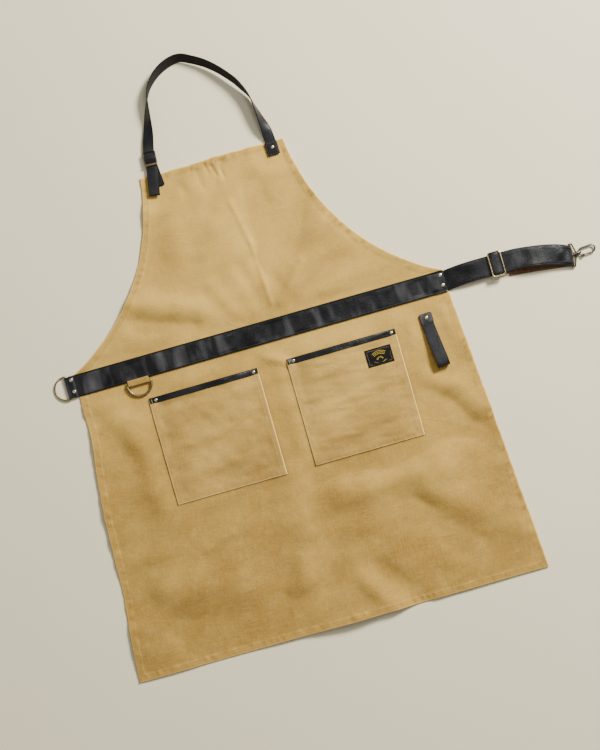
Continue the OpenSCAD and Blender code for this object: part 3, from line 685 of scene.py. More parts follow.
canvas, hem_seams = canvas_body()
put(canvas, "root", "canvas", "canvas_body")
hem_thread = put(stitches("hem_stitching", hem_seams, TAN_THREAD), "root", "canvas")


def canvas_top(x, y):
    return lift(np.asarray(x, float), np.asarray(y, float)) + CANVAS_T


# ---------------------------------------------------------------- pockets
POCKET_T = 1.2


def pocket_swell(u, v, seed):
    """How far a pocket's panel stands off the apron; u is across it and v up it."""
    side = np.minimum(u, POCKET_W - u)
    belly = smooth(3, 44, side) * smooth(2, 50, v)
    open_up = 1.5 + 3.2 * smooth(60, POCKET_H, v)
    wrinkle = 0.50 * ripple(u, v, seed, 30, 6, 3.0) + 0.22 * ripple(u, v, seed + 1, 13, -8, 2.6)
    return belly * open_up + wrinkle * smooth(4, 16, side) * smooth(4, 14, v)


def pocket_mid(x0, u, v, seed):
    x, y = x0 + u, MOUTH_Y - POCKET_H + v
    return canvas_top(x, y) + POCKET_T / 2 + 0.05 + pocket_swell(u, v, seed)


def pocket(name, x0, seed):
    """Patch pocket with turned edges, its left edge at x0; returns it and its seams."""
    u, v = stops(POCKET_W, 2.6), stops(POCKET_H, 2.6)
    extra = np.array([1.7, 2.6, 7.4, 8.4, 9.2])
    u = np.unique(np.concatenate([u, extra, POCKET_W - extra]))
    v = np.unique(np.concatenate([v, extra]))
    uu, vv = np.meshgrid(u, v, indexing="ij")
    side = np.minimum(uu, POCKET_W - uu)
    edge = np.minimum(side, vv)
    mid = np.stack([x0 + uu, MOUTH_Y - POCKET_H + vv, pocket_mid(x0, uu, vv, seed)], -1)
    pucker = ripple(np.where(side < vv, vv, uu), 0 * uu, seed + 5, 10, count=16)
    face = 0.95 * (1 - smooth(6, 17, edge)) - 0.16 * bell(edge - 1.7, 0.55)
    face -= 0.16 * bell(edge - 7.4, 0.6) * (uu > POCKET_W / 2) * (side < vv)
    face += 0.16 * pucker * bell(edge - 5, 4)
    face *= smooth(0, 0.8, edge)
    thick = POCKET_T * rounded(u)[:, None] * rounded(v)[None, :]
    pale = 0.85 * bell(edge - 0.7, 0.9)
    # painted shade: a thin darker line just inside the turned edge
    dark = 0.10 * bell(edge - 2.4, 0.6)
    # painted shadow under the trim where the pocket's mouth gapes
    mouth = bell(vv - POCKET_H + 13 - 0.05 * uu, 4.5)
    dark = dark + 0.34 * mouth * smooth(8, 26, uu) * smooth(96, 50, uu)
    tone = 0.03 + canvas_tone(x0 + uu, MOUTH_Y - POCKET_H + vv)
    obj, outer = slab(name, mid, thick, [POCKET], face, {"pale": pale, "dark": dark, "tone": tone})
    near, far = nearest(u, 1.7), nearest(u, POCKET_W - 1.7)
    inner, low = nearest(u, POCKET_W - 7.4), nearest(v, 1.7)
    return obj, [outer[near, low:-6], outer[far, low:-6], outer[near:far + 1, low], outer[inner, low:-6]]


POCKETS = {"left": (panel_lo[0], 31), "right": (right_lo[0], 41)}
for side, (x0, seed) in POCKETS.items():
    piece, seams = pocket(side + "_pocket_cloth", x0, seed)
    put(piece, "root", "pocket_canvas", side + "_pocket")
    thread = stitches(side + "_pocket_stitching", seams, CREAM_THREAD, 3.0, 2.1, 0.3)
    put(thread, "root", "pocket_canvas")

TRIM_T = 1.0
TRIM_H = 9.2


def trim(side):
    """Leather over a pocket's mouth, front, edge and inside; returns it, its seam and its bar tack."""
    x0, seed = POCKETS[side]
    u = stops(POCKET_W - 1.6, 3.0) + 1.1
    gap = POCKET_T / 2 + TRIM_T / 2 + 0.25
    front = [(-TRIM_H + 1 + d, gap) for d in (0, 0.3, 0.8, 2.0, 3.5, 5, 6.5, 7.6)]
    bend = [(gap * math.sin(t) + 0.1, gap * math.cos(t)) for t in np.linspace(0.2, math.pi - 0.2, 7)]
    back = [(-d, -gap) for d in (0.6, 3, 6)]
    path = np.array(front + bend + back)
    v = POCKET_H + np.minimum(path[:, 0], 0)
    mid = np.zeros((len(u), len(path), 3))
    base = pocket_mid(x0, u[:, None], v[None, :], seed)
    low = canvas_top(x0 + u[:, None], MOUTH_Y + path[None, :, 0]) + TRIM_T / 2 + 0.1
    mid[..., 0] = x0 + u[:, None]
    mid[..., 1] = MOUTH_Y + path[None, :, 0]
    mid[..., 2] = np.maximum(base + path[None, :, 1], low)
    along = np.concatenate([[0], np.cumsum(np.hypot(*np.diff(path, axis=0).T))])
    thick = TRIM_T * rounded(u, 0.6)[:, None] * rounded(along, 0.5)[None, :]
    rim = np.minimum(along[None, :], np.minimum(u - u[0], u[-1] - u)[:, None])
    face = -0.16 * bell(along[None, :] - 1.7, 0.5) + 0 * rim
    edge = bell(rim, 0.8)
    obj, outer = slab(side + "_pocket_trim_leather", mid, thick, [TRIM], face, {"edge": edge})
    put(obj, "root", "black_leather", side + "_pocket_trim")
    tack = nearest(u, 4.2)
    return obj, outer[3:-3, 3], outer[tack, 2:8]


trims, trim_seams, tack_seams = {}, [], []
for side in POCKETS:
    trims[side], seam, tack = trim(side)
    trim_seams.append(seam)
    tack_seams.append(tack)


# ---------------------------------------------------------------- label
def label():
    """Woven label with a plain arched pattern, sewn to the right pocket."""
    x0, seed = POCKETS["right"]
    width, height = label_hi[0] - label_lo[0], label_hi[1] - label_lo[1]
    u, v = stops(width, 1.5, (0, 0.2, 0.5)), stops(height, 1.5, (0, 0.2, 0.5))
    uu, vv = np.meshgrid(u, v, indexing="ij")

    def surface(a, b):
        px, py = label_lo[0] - x0 + a, label_lo[1] - (MOUTH_Y - POCKET_H) + b
        return np.stack([x0 + px, MOUTH_Y - POCKET_H + py,
                         pocket_mid(x0, px, py, seed) + POCKET_T / 2 + 0.35], -1)

    edge = np.minimum(np.minimum(uu, width - uu), np.minimum(vv, height - vv))
    thick = 0.5 * rounded(u, 0.4)[:, None] * rounded(v, 0.4)[None, :]
    face = 0.18 * (1 - smooth(1.6, 2.2, edge))
    obj, _ = slab("woven_label", surface(uu, vv), thick, [LABEL], face)

    def on_label(points):
        p = np.array(points, float)
        return surface(p[:, 0] + width / 2, p[:, 1] + height / 2) + UP * 0.42

    frame_w, frame_h = width / 2 - 3.4, height / 2 - 3.4
    border = [[(-frame_w, y), (frame_w, y)] for y in (-frame_h, frame_h)]
    border += [[(x, -frame_h), (x, frame_h)] for x in (-frame_w, frame_w)]
    arcs = []
    for radius in (15, 17.5, 20):
        turn = np.radians(np.linspace(52, 128, 15))
        arcs.append(np.stack([radius * np.cos(turn), radius * np.sin(turn) - 11], 1))
    rays = []
    for degrees in np.linspace(20, 160, 9):
        t = math.radians(degrees)
        rays.append([(3.4 * math.cos(t), 3.4 * math.sin(t) * 0.8 - 6),
                     (7.6 * math.cos(t), 7.6 * math.sin(t) * 0.8 - 6)])
    base = [[(-11, -8.2), (11, -8.2)], [(-8, -9.9), (8, -9.9)]]
    gold = [on_label(line) for line in [*arcs, *rays, *base]]
    cream = [on_label(line) for line in border]
    pattern = stitches("label_pattern", gold, GOLD_THREAD, 1.25, 1.15, 0.42, 0.22)
    dots = stitches("label_border", cream, CREAM_THREAD, 1.7, 0.9, 0.22, 0.1)
    for piece in (pattern, dots):
        put(piece, "root", "woven_label")
    return put(obj, "root", "woven_label", "pocket_label"), pattern, dots


def label_material():
    n = Nodes("woven_label").set(Roughness=0.85, Specular_IOR_Level=0.2)
    rib = n.wave(420, "Y", 0.3)
    n.colour(n.mix(n.ramp(rib, 0, 1), (0.0035, 0.0033, 0.003), (0.009, 0.0085, 0.0075)))
    n.bump((rib, 0.5, 0.0003), (n.wave(700, "X", 0.2), 0.3, 0.0002))
    return n.material


LABEL = label_material()
label_piece, label_pattern, label_border = label()


# ---------------------------------------------------------------- straps and tabs
def band(name, centre, across, width, thickness, materials, margin=1.9, bound=True, crown=0.0,
         corner=0.0, creased=0.0):
    """Leather strap along a line; bound edges, a stitched groove inside them and a dished face.

    margin is the groove's distance from the edge, corner rounds the first end and creased is
    the height of its soft creases. Returns the strap, its two grooves and its outer face.
    """
    c = stops(width, 2.0, (0, 0.3, 0.8)) - width / 2
    c = np.unique(np.concatenate([c, [margin - width / 2, width / 2 - margin]]))
    run = np.concatenate([[0], np.cumsum(np.linalg.norm(np.diff(centre, axis=0), axis=1))])
    rest = np.clip(1 - run / max(corner, 0.01), 0, 1)
    narrow = 1 - corner * (1 - np.sqrt(1 - rest**2)) / (width / 2)
    mid = centre[:, None, :] + across[:, None, :] * c[None, :, None] * narrow[:, None, None]
    rim = width / 2 - np.abs(c)[None, :]
    thick = thickness * rounded(c + width / 2, 0.8)[None, :] * np.ones((len(centre), 1))
    thick[[0, -1]] *= 0.4
    face = crown * (1 - (2 * c / width) ** 2)[None, :] + 0 * run[:, None]
    if creased:
        waves = ripple(run[:, None], c[None, :], 61, 24, 62, 1.7) * smooth(1.5, 7, rim)
        face = face + creased * waves * (smooth(8, 26, run) * smooth(8, 26, run[-1] - run))[:, None]
    if bound:
        face = face + 0.26 * bell(rim - 0.9, 0.7) - 0.3 * bell(rim - margin, 0.45)
    edge = bell(rim, 1.9) + 0 * run[:, None]
    obj, outer = slab(name, mid, thick, materials, face, {"edge": edge})
    sides = [nearest(c, k) for k in (margin - width / 2, width / 2 - margin)]
    return obj, [outer[:, k] for k in sides], outer


def plate(name, lo, hi, z, thickness, materials, corner, turn, margin, crown, pivot):
    """Flat leather tab with rounded corners, turned about pivot; z is the height of its middle."""
    w, h = hi[0] - lo[0], hi[1] - lo[1]
    u, v = stops(w, 1.2, (0, 0.3, 0.8)), stops(h, 1.2, (0, 0.3, 0.8))
    uu, vv = np.meshgrid(u, v, indexing="ij")
    rim_u, rim_v = np.minimum(uu, w - uu), np.minimum(vv, h - vv)
    pull = corner * (1 - np.clip(rim_v / corner, 0, 1)) ** 2 * 0.9
    pull_v = corner * (1 - np.clip(rim_u / corner, 0, 1)) ** 2 * 0.25
    x = uu + np.sign(w / 2 - uu) * pull * (np.abs(uu - w / 2) / (w / 2)) ** 4
    y = vv + np.sign(h / 2 - vv) * pull_v * (np.abs(vv - h / 2) / (h / 2)) ** 4
    px, py = x + lo[0], y + lo[1]
    dx, dy = px - pivot[0], py - pivot[1]
    px = pivot[0] + dx * math.cos(turn) - dy * math.sin(turn)
    py = pivot[1] + dx * math.sin(turn) + dy * math.cos(turn)
    rim = np.minimum(rim_u, rim_v)
    mid = np.stack([px, py, z + lift(px, py)], -1)
    thick = thickness * rounded(u, 0.8)[:, None] * rounded(v, 0.8)[None, :]
    face = crown * smooth(0, 5, rim) - 0.28 * bell(rim - margin, 0.5)
    obj, outer = slab(name, mid, thick, materials, face, {"edge": bell(rim, 1.0)})
    a, b = nearest(u, margin), nearest(v, margin)
    ring = [outer[a, b:-b], outer[-a - 1, b:-b], outer[a:-a, b], outer[a:-a, -b - 1]]
    return obj, ring


def waist_belt():
    """The belt lies along the waist; it buckles softly, which gives part of its sheen patches; the rest are
    painted streaks in its material.
    """
    x = np.concatenate([np.arange(belt_lo[0], belt_hi[0], 2.2), [belt_hi[0]]])
    y = stops(2 * BELT_HALF, 1.9, (0, 0.35, 0.9)) - BELT_HALF
    margin = 3.0
    y = np.unique(np.concatenate([y, [margin - BELT_HALF, BELT_HALF - margin]]))
    xx, yy = np.meshgrid(x, y, indexing="ij")
    rim = BELT_HALF - np.abs(yy)
    ends = smooth(0, 26, xx - belt_lo[0]) * smooth(0, 30, belt_hi[0] - xx)
    buckle = 0.85 * ripple(xx - 0.25 * yy, 0 * yy, 51, 52, count=9)
    buckle = buckle + 0.22 * ripple(xx, yy, 52, 22, 70, 1.8, count=9)
    buckle = buckle * smooth(2.5, 8, rim) * ends
    z = (belt_lo[2] + belt_hi[2]) / 2 + 0 * xx
    mid = np.stack([xx, yy, z], -1)
    thick = 2.5 * rounded(y, 0.9)[None, :] * rounded(x, 0.8)[:, None] * np.ones_like(xx)
    thin = smooth(belt_hi[0] - 21, belt_hi[0] - 19.5, xx)
    thick = thick - 1.25 * thin * (rim > 0.5)
    mid[..., 2] += 0.62 * thin
    face = 0.35 * bell(rim - 1.4, 0.9) - 0.32 * bell(rim - margin, 0.6) + buckle
    edge = 1 - smooth(2.0, 3.2, rim)
    obj, outer = slab("waist_belt_leather", mid, thick, [BELT, NECK_BACK, TRIM], face, {"edge": edge})
    rows = [nearest(y, k) for k in (margin - BELT_HALF, BELT_HALF - margin)]
    put(obj, "root", "black_leather", "waist_belt")
    return obj, [outer[2:-2, k] for k in rows]


belt, belt_seams = waist_belt()


def folded(name, bar, radius, thickness, width, reach, turn_from, turn_to, materials, lay_dir,
           across, low_reach=None):
    """Strap folded round a bar: in along the top, round it and back below."""
    lay_dir, across = np.array(lay_dir, float), np.array(across, float)
    turns = np.radians(np.linspace(turn_from, turn_to, 15))
    low_reach = reach if low_reach is None else low_reach
    arc = [bar - lay_dir * radius * math.cos(t) + UP * radius * math.sin(t) for t in turns]
    top = [arc[0] + lay_dir * reach * k for k in (1, 0.66, 0.33)]
    low = [arc[-1] + lay_dir * low_reach * k for k in (0.33, 0.66, 1)]
    centre = np.array(top + arc + low)
    return band(name, centre, np.tile(across, (len(centre), 1)), width, thickness, materials)


chape, chape_seams, _ = folded("left_chape_leather", SIDE_BAR, 2.05, 1.3, 36, 14.0, 90, -90,
                               [BELT, SUEDE, TRIM], (1, 0, 0), (0, -1, 0))
put(chape, "root", "black_leather", "left_chape")

loop, _, _ = folded("tool_ring_canvas_loop", TOOL_BAR, 2.62, 0.9, 36, 7.5, 96, -82, [POCKET],
                    (0, 1, 0), (1, 0, 0), 6.5)
put(loop, "root", "pocket_canvas", "tool_ring_loop")


# Waist strap, from under the belt's end to the adjuster
def waist_strap_pieces():
    """Inner run, outer run round the hook's eye and the return layer below it."""
    centre, across = rolled_frame(STRAP_ROUTE, 8)
    split = ADJUSTER_AT[0]
    a = centre[:, 0] <= split
    first, seams_a, _ = band("waist_strap_inner", centre[a], across[a], STRAP_W, 1.9,
                             [STRAP, SUEDE, TRIM], 2.1, creased=0.42)
    bar = np.array([-math.sin(FOLD_TURN), math.cos(FOLD_TURN), 0])
    ahead = np.array([math.cos(FOLD_TURN), math.sin(FOLD_TURN), 0])
    r = 2.45
    b = centre[:, 0] > split - 6
    turns = np.radians(np.linspace(96, -90, 15))
    arc = [FOLD_AT + ahead * r * math.cos(t) + UP * r * math.sin(t) for t in turns]
    arc.append(arc[-1] - ahead * 5)
    start, start_across = centre[b], across[b]
    run_in = curve_through([start[-9], start[-1], arc[0] - ahead * 11 + UP * 1.6 + bar * 3.0,
                            arc[0] - ahead * 3 + UP * 0.2 + bar * 0.7, arc[0]], 6)[7:-1]
    mix = smooth(0, len(run_in) - 1, np.arange(len(run_in)))[:, None]
    run_across = unit(start_across[-1] * (1 - mix) + bar * mix)
    path = np.concatenate([start, run_in, arc])
    sides = np.concatenate([start_across, run_across, np.tile(bar, (len(arc), 1))])
    second, seams_b, _ = band("waist_strap_outer", path, sides, STRAP_W, 1.8,
                              [STRAP, SUEDE, TRIM], 2.1, creased=0.45)
    low = FOLD_AT - UP * r - ahead * 3
    back = curve_through([low, low - ahead * 27 + bar * 1.2, (470, -9.8, 1.25), (424, -5, 1.3)], 8)
    turn = smooth(0, 1, np.linspace(0, 1, len(back)))[:, None]
    back_across = unit(bar * (1 - turn) + np.array([0, 1.0, 0]) * turn)
    third, _, _ = band("waist_strap_return", back, back_across, STRAP_W, 1.5,
                       [STRAP, SUEDE, SUEDE], 2.1)
    return (first, seams_a), (second, seams_b), third


(strap_a, seams_a), (strap_b, seams_b), strap_back = waist_strap_pieces()
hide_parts("strap_anchor")
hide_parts("waist_strap", "strap_fold")
put(strap_back, "strap_end", "suede", "strap_return")

strap_thread_a = stitches("waist_strap_inner_stitching", seams_a, BLACK_THREAD, 3.4, 2.5, 0.36)
strap_thread_b = stitches("waist_strap_outer_stitching", [s[:-10] for s in seams_b], BLACK_THREAD,
                          3.4, 2.5, 0.36)
for piece in (strap_a, strap_thread_a):
    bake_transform(piece)
for piece in (strap_b, strap_thread_b):
    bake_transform(piece)


# Adjuster, the hump of strap between its bars and the wrapped end on its middle bar
def rounded_loop(corners, radius, z, per=7):
    """Closed loop through corners, each rounded; returns its points."""
    out, count = [], len(corners)
    for k in range(count):
        p0, p1, p2 = (np.array(corners[(k + d) % count], float) for d in (-1, 0, 1))
        a, b = unit(p0 - p1), unit(p2 - p1)
        reach = min(radius, np.linalg.norm(p0 - p1) / 2.01, np.linalg.norm(p2 - p1) / 2.01)
        for t in np.linspace(0, 1, per):
            q = p1 + a * reach * (1 - t) ** 2 + b * reach * t**2
            out.append((q[0], q[1], z if len(q) < 3 else q[2]))
    return np.array(out)


def turned(points, turn, at):
    p = np.array(points, float)
    c, s = math.cos(turn), math.sin(turn)
    x, y = p[:, 0] * c - p[:, 1] * s, p[:, 0] * s + p[:, 1] * c
    return np.stack([x, y, p[:, 2]], 1) + np.array(at)


def adjuster():
    """Slide with its middle bar, the strap's hump over it and the wrapped end below."""
    half_x, half_y, wire, low = 10.6, 19.85, 1.35, 4.1
    top = adjuster_hi[2] - wire + 1.7
    under = top - 1.7
    loop = rounded_loop([(-half_x, -half_y, top), (half_x, -half_y, top), (half_x, half_y, under),
                         (-half_x, half_y, under)], 4.0, top)
    frame_wire = tube("slide_adjuster_frame", loop + ADJUSTER_AT, wire, PALE_BRASS, True, 14)
    legs = [(-half_y, top - 0.4), (0.2 - half_y, top - 2.4), (0.9 - half_y, low + 0.9), (3 - half_y, low)]
    bar = [(0, y, z) for y, z in legs] + [(0, 0, low)] + [(0, -y, z) for y, z in legs[::-1]]
    middle = tube("slide_adjuster_bar", curve_through(bar, 6) + ADJUSTER_AT, wire * 0.95, BRASS, False, 12)
    put(frame_wire, "adjuster", "antique_brass", "slide_adjuster")
    put(middle, "adjuster", "antique_brass")
    rise = [(-9.0, 10.9), (-8.0, 12.0), (-5.6, 13.9), (-2.6, 14.9)]
    arch = [(x, 1.7, z) for x, z in rise] + [(0, 1.7, 15.2)] + [(-x, 1.7, z) for x, z in rise[::-1]]
    arch = curve_through(arch, 3) + ADJUSTER_AT
    hump, seams, _ = band("adjuster_hump", arch, np.tile([0, 1.0, 0], (len(arch), 1)),
                          STRAP_W + 3, 1.7, [STRAP, SUEDE, TRIM], 2.1)
    drop, coil = np.array([0, -1.5, 0]), np.radians(np.linspace(-90, -330, 15))
    wrap = [np.array(p) for p in ((31, -6.5, low - 1.1), (14, -3.6, low - 1.3), (4, -1.8, low - 2.2))]
    wrap += [drop + np.array([2.2 * math.cos(t), 0, low + 2.2 * math.sin(t)]) for t in coil]
    wrap_piece, _, _ = band("return_wrap_leather", np.array(wrap) + ADJUSTER_AT,
                            np.tile([0, -1.0, 0], (len(wrap), 1)), 33, 1.3, [SUEDE, STRAP, SUEDE], 2.1, False)
    put(wrap_piece, "adjuster", "black_leather", "return_wrap")
    hump_thread = stitches("adjuster_hump_stitching", seams, BLACK_THREAD, 3.4, 2.5, 0.36)
    for piece in (hump, hump_thread):
        put(piece, "adjuster", "black_leather")
    return hump, wrap_piece, hump_thread


hump, wrap_piece, hump_thread = adjuster()


# Rings
def d_loop(outer, wire, leg, corner=2.6):
    """Points of a D with its straight bar along X at y = 0 and its bow towards -Y."""
    half = outer / 2 - wire
    bow = [(half * math.cos(t), -leg + half * math.sin(t)) for t in np.radians(np.linspace(0, -180, 25))]
    return rounded_loop([(half, 0), *bow, (-half, 0)], corner, 0, 5)


def tilted(points, pitch, yaw, at):
    """Tip points about X, then turn them about Z, then move them."""
    p = np.array(points, float)
    c, s = math.cos(pitch), math.sin(pitch)
    p = np.stack([p[:, 0], p[:, 1] * c - p[:, 2] * s, p[:, 1] * s + p[:, 2] * c], 1)
    return turned(p, yaw, at)


side_bow = tilted(d_loop(42, 1.35, 2.9), math.radians(3.4), math.radians(-90), SIDE_BAR)
side_ring = tube("side_d_ring", side_bow, 1.35, BRASS, True, 14)
put(side_ring, "side_ring", "antique_brass", "left_d_ring")
tool_bow = tilted(d_loop(45.2, 2.1, 1.0), math.radians(2.4), 0, TOOL_BAR)
tool_ring = tube("tool_d_ring_wire", tool_bow, 2.1, BRASS, True, 16)
put(tool_ring, "tool_ring", "antique_brass", "tool_d_ring")


# Towel tab and loop
towel_tab, towel_ring = plate("towel_tab_leather", tab_lo, tab_hi, 3.5, 3.0, [BELT, SUEDE, TRIM],
                              2.2, math.radians(2.5), 1.8, 0.25, (TOWEL_AT[0], -52))
put(towel_tab, "root", "black_leather", "towel_tab")


def towel_loop():
    """Loop that runs out from the tab, round its far end and back to the canvas."""
    reach, back_z, radius = 69.0, 2.6, 5.3
    mid_z = back_z + radius
    top = [(2.5, 4.9), (-2, 5.0), (-14, 6.0), (-30, 8.2), (-46, 10.8), (-58, 12.6), (-66, mid_z + radius)]
    upper = curve_through([(0, y, z) for y, z in top], 5)
    turns = np.radians(np.linspace(82, -90, 13))
    arc = np.array([(0, -reach - radius * math.cos(t), mid_z + radius * math.sin(t)) for t in turns])
    back = [(drift, y, back_z) for drift, y in zip(np.linspace(1.4, 0, 12),
                                                   np.linspace(-reach + 4, -1.5, 12))]
    path = np.concatenate([upper, arc, back])
    across = np.tile([1.0, 0, 0], (len(path), 1))
    world, sides = turned(path, TOWEL_TURN, TOWEL_AT), turned(across, TOWEL_TURN, (0, 0, 0))
    obj, seams, _ = band("towel_loop_leather", world, sides, 20.5, 1.35, [NECK, SUEDE, TRIM], 1.8)
    return obj, [s[: len(upper) + 6] for s in seams]


towel, towel_seams = towel_loop()
towel_thread = stitches("towel_loop_stitching", towel_seams, BLACK_THREAD, 3.0, 2.2, 0.32)
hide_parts("towel_loop")
for piece in (towel, towel_thread):
    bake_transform(piece)


# Neck strap, its tabs, buckle and chape
def neck_strap():
    """Strap from under the right tab to the tail; on edge it lies lower than the CAD strap."""
    route = [(102.6, 282, 2.6, 0), (102.5, 292, 2.6, 0), (102.3, 301, 2.7, 0)]
    for x, y, z, roll in NECK_ROUTE:
        upright = abs(math.sin(math.radians(roll)))
        route.append((x, y, min(z, max(z - 4.2 * upright**2, 9 * upright + 1.3)), roll))
    centre, across = rolled_frame(route, 8)
    obj, seams, _ = band("neck_strap_leather", centre, across, NECK_W, 1.7,
                         [NECK, NECK_BACK, TRIM], 1.7, True, 0.15)
    thread = stitches("neck_strap_stitching", [s[24:] for s in seams], BLACK_THREAD, 3.2, 2.3, 0.32)
    return obj, thread


neck, neck_thread = neck_strap()
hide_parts("neck_strap", "neck_tail")

right_tab_lo, right_tab_hi = span("neck_right_tab")
right_tab, right_tab_ring = plate("neck_right_tab_leather", right_tab_lo, right_tab_hi, 4.0, 1.5,
                                  [BELT, SUEDE, TRIM], 1.6, math.radians(1.5), 1.9, 0.2, (102, 291))
put(right_tab, "root", "black_leather", "neck_right_tab")


def neck_chape():
    """Leather from its rounded end on the bib up to the buckle's middle bar and back."""
    r = 1.85
    up = [(-94.6, 281, 2.6), (-95.2, 290, 2.6), (-96.4, 303, 2.7), (-97.2, 314, 2.6)]
    turns = np.radians(np.linspace(-70, 90, 10))
    arc = [BUCKLE_AT + np.array([0, r * math.cos(t), r * math.sin(t)]) for t in turns]
    down = [BUCKLE_AT + np.array([-0.6, -5, r * 0.7]), BUCKLE_AT + np.array([-0.9, -9.0, 0.2])]
    path = np.concatenate([curve_through([*up, BUCKLE_AT + np.array([0, -4, -1.6])], 4), arc, down])
    across = np.tile([-1.0, 0, 0], (len(path), 1))
    return band("buckle_chape_leather", path, across, NECK_W - 0.8, 1.3, [BELT, SUEDE, TRIM], 1.6,
                corner=3.0)[0]


neck_loop_chape = neck_chape()
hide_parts("buckle_chape", "neck_left_tab")
for piece in (neck, neck_thread, neck_loop_chape):
    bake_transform(piece)


def neck_buckle():
    """Bowed frame, its middle bar and the flattened keeper on its lower side."""
    half, pitch, rise = NECK_W / 2 + 0.9, 10.6, 2.3
    bow = [(share * half, pitch + 1.6 * (1 - share**2), rise + 0.7) for share in (0.9, 0.45, 0, -0.45, -0.9)]
    corners = [(-half, -pitch, rise), (half, -pitch, rise), (half, pitch - 0.8, rise), *bow,
               (-half, pitch - 0.8, rise)]
    loop = rounded_loop(corners, 2.4, rise)
    frame_wire = tube("neck_buckle_frame", turned(loop, BUCKLE_TURN, BUCKLE_AT), 0.85, BRONZE, True, 12)
    legs = [(half, rise), (half - 0.2, 0.8), (half - 1.6, 0)]
    bar = [(-x, 0, z) for x, z in legs] + [(x, 0, z) for x, z in legs[::-1]]
    middle = tube("neck_buckle_bar", turned(curve_through(bar, 6), BUCKLE_TURN, BUCKLE_AT), 1.0, BRONZE,
                  False, 10)
    low = curve_through([(x, -pitch, z) for x, z in ((-half, 2.8), (0, 3.3), (half, 2.8))], 8)
    keeper = tube("neck_buckle_keeper", turned(low, BUCKLE_TURN, BUCKLE_AT), 2.1, BRASS, False, 14, 0.5)
    put(frame_wire, "neck", "antique_brass", "neck_buckle")
    for piece in (middle, keeper):
        put(piece, "neck", "antique_brass")


neck_buckle()

# Stitching on belt, tabs and trims
belt_thread = stitches("belt_stitching", [*belt_seams, *chape_seams], BLACK_THREAD, 3.6, 2.7, 0.38)
tab_thread = stitches("tab_stitching", [*towel_ring, *right_tab_ring], GREY_THREAD, 2.6, 1.7, 0.3)
trim_thread = stitches("trim_stitching", trim_seams, BLACK_THREAD, 2.8, 2.0, 0.26)
trim_tacks = stitches("trim_bar_tacks", tack_seams, CREAM_THREAD, 1.5, 1.4, 0.5, 0.1)
put(trim_tacks, "root", "pocket_canvas")
for piece in (belt_thread, tab_thread, trim_thread):
    put(piece, "root", "black_leather")


# ---------------------------------------------------------------- rivets
def cap_profile(r, height=1.5):
    dome = [(r * math.cos(t), height * 0.45 + height * 0.55 * math.sin(t))
            for t in np.radians([0, 20, 38, 54, 68, 80, 88])]
    return [(r * 0.86, -0.35), (r * 0.98, 0.0), (r * 1.02, height * 0.22), *dome]


def rivets(name, spots, radius, *nodes):
    put(lathe(name, cap_profile(radius), spots, RIVET), "root", "rivet_brass", *nodes)


pocket_spots = []
for x0, seed in POCKETS.values():
    for u in (12.0, POCKET_W - 8.0):
        z = float(pocket_mid(x0, np.array(u), np.array(POCKET_H - 3.5), seed))
        pocket_spots.append((x0 + u, MOUTH_Y - 3.5, z + POCKET_T / 2 + TRIM_T + 0.3))
rivets("pocket_rivets", pocket_spots, 2.8, "pocket_rivet_caps", "pocket_rivet_posts")
belt_top = belt_hi[2]
rivets("belt_rivets", [(312.8, 10.7, belt_top), (312.8, -6.4, belt_top), (-325.8, 11.5, 5.75),
                       (-325.4, -8.2, 5.75)], 3.2, "belt_rivet_caps", "belt_rivet_posts")
rivets("towel_rivet", [(271.1, -51.2, 5.25)], 3.2, "towel_rivet_cap", "towel_rivet_post")
rivets("neck_rivets", [(103, 292.4, 4.95), (-97.5, 290, 3.2)], 2.9, "neck_rivet_caps", "neck_rivet_posts")

# ---------------------------------------------------------------- snap hook's swivel collar
HOOK_TURN = math.radians(4)


def swivel_collar():
    """Ribbed collar round the hook's shank, outside the eye's boss."""
    profile = [(12.3, 2.2), (12.5, 3.0), (13.0, 3.35), (13.8, 3.45), (14.3, 3.1), (14.7, 3.0), (15.1, 3.3),
               (15.8, 3.25), (16.6, 2.7), (17.8, 2.1), (18.6, 1.6)]
    shank = turned([(x, 0, 0) for x, _ in profile], HOOK_TURN, FOLD_AT)
    collar = tube("swivel_collar", shank, [r for _, r in profile], NICKEL, False, 20)
    put(collar, "hook", "dark_nickel")


swivel_collar()

# ---------------------------------------------------------------- CAD metal kept as it is
for node, finish in (("hook_eye", BRONZE), ("hook_body", NICKEL), ("hook_gate", NICKEL),
                     ("gate_pin", NICKEL), ("gate_spring", BRASS)):
    bpy.data.objects[node].material_slots[0].material = finish


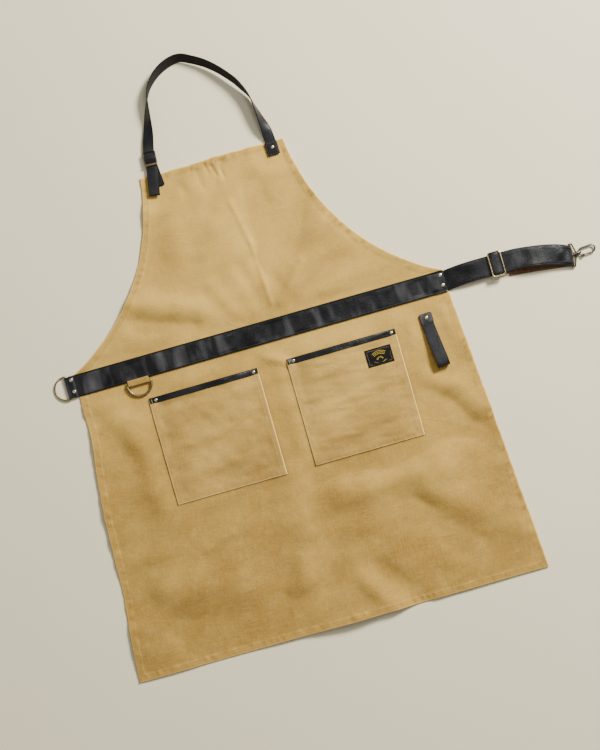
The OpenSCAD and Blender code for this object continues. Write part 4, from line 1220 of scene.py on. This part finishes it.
# ---------------------------------------------------------------- floor, light and camera
def floor():
    """Plain pale floor, a hair below the apron."""
    mesh = bpy.data.meshes.new("floor")
    reach, z = 40.0, -0.0002
    corners = [(-1, -1), (1, -1), (1, 1), (-1, 1)]
    mesh.from_pydata([(reach * x, reach * y, z) for x, y in corners], [], [(0, 1, 2, 3)])
    n = Nodes("floor").set(Roughness=0.9)
    n.colour(n.mix(n.ramp(n.noise(3.0, 2), 0, 1, 0.3, 0.7), (0.850, 0.760, 0.520), (0.865, 0.776, 0.540)))
    mesh.materials.append(n.material)
    obj = bpy.data.objects.new("floor", mesh)
    bpy.context.scene.collection.objects.link(obj)


def area_light(name, at, aim, size, watts, colour):
    data = bpy.data.lights.new(name, "AREA")
    data.shape, data.size, data.energy, data.color = "DISK", size, watts, colour
    obj = bpy.data.objects.new(name, data)
    obj.location = at
    direction = np.array(aim, float) - np.array(at, float)
    obj.rotation_mode = "QUATERNION"
    obj.rotation_quaternion = Vector(direction).to_track_quat("-Z", "Y")
    bpy.context.scene.collection.objects.link(obj)


def camera():
    """Straight down over the apron, which lies turned 16 degrees in the frame."""
    data = bpy.data.cameras.new("camera")
    height, seen = 2.6, 1.25
    data.lens = 36 * height / seen
    data.clip_end = 100
    obj = bpy.data.objects.new("camera", data)
    obj.location = (0.0430, -0.0848, height)
    obj.rotation_euler = (0, 0, -math.radians(15.95))
    bpy.context.scene.collection.objects.link(obj)
    bpy.context.scene.camera = obj


camera()
floor()
CENTRE = (0.04, -0.08, 0)
area_light("key", (2.46, 1.74, 2.08), CENTRE, 0.95, 295, (1.0, 0.985, 0.95))
area_light("fill", (-1.4, -0.6, 2.2), CENTRE, 2.2, 5, (0.95, 0.975, 1.0))
area_light("overhead", (0.8, 0.8, 2.4), CENTRE, 0.9, 12, (1.0, 1.0, 1.0))
world = bpy.data.worlds.new("world")
world.use_nodes = True
background = world.node_tree.nodes["Background"]
background.inputs["Color"].default_value = (0.98, 0.99, 1.0, 1)
background.inputs["Strength"].default_value = 0.24
bpy.context.scene.world = world
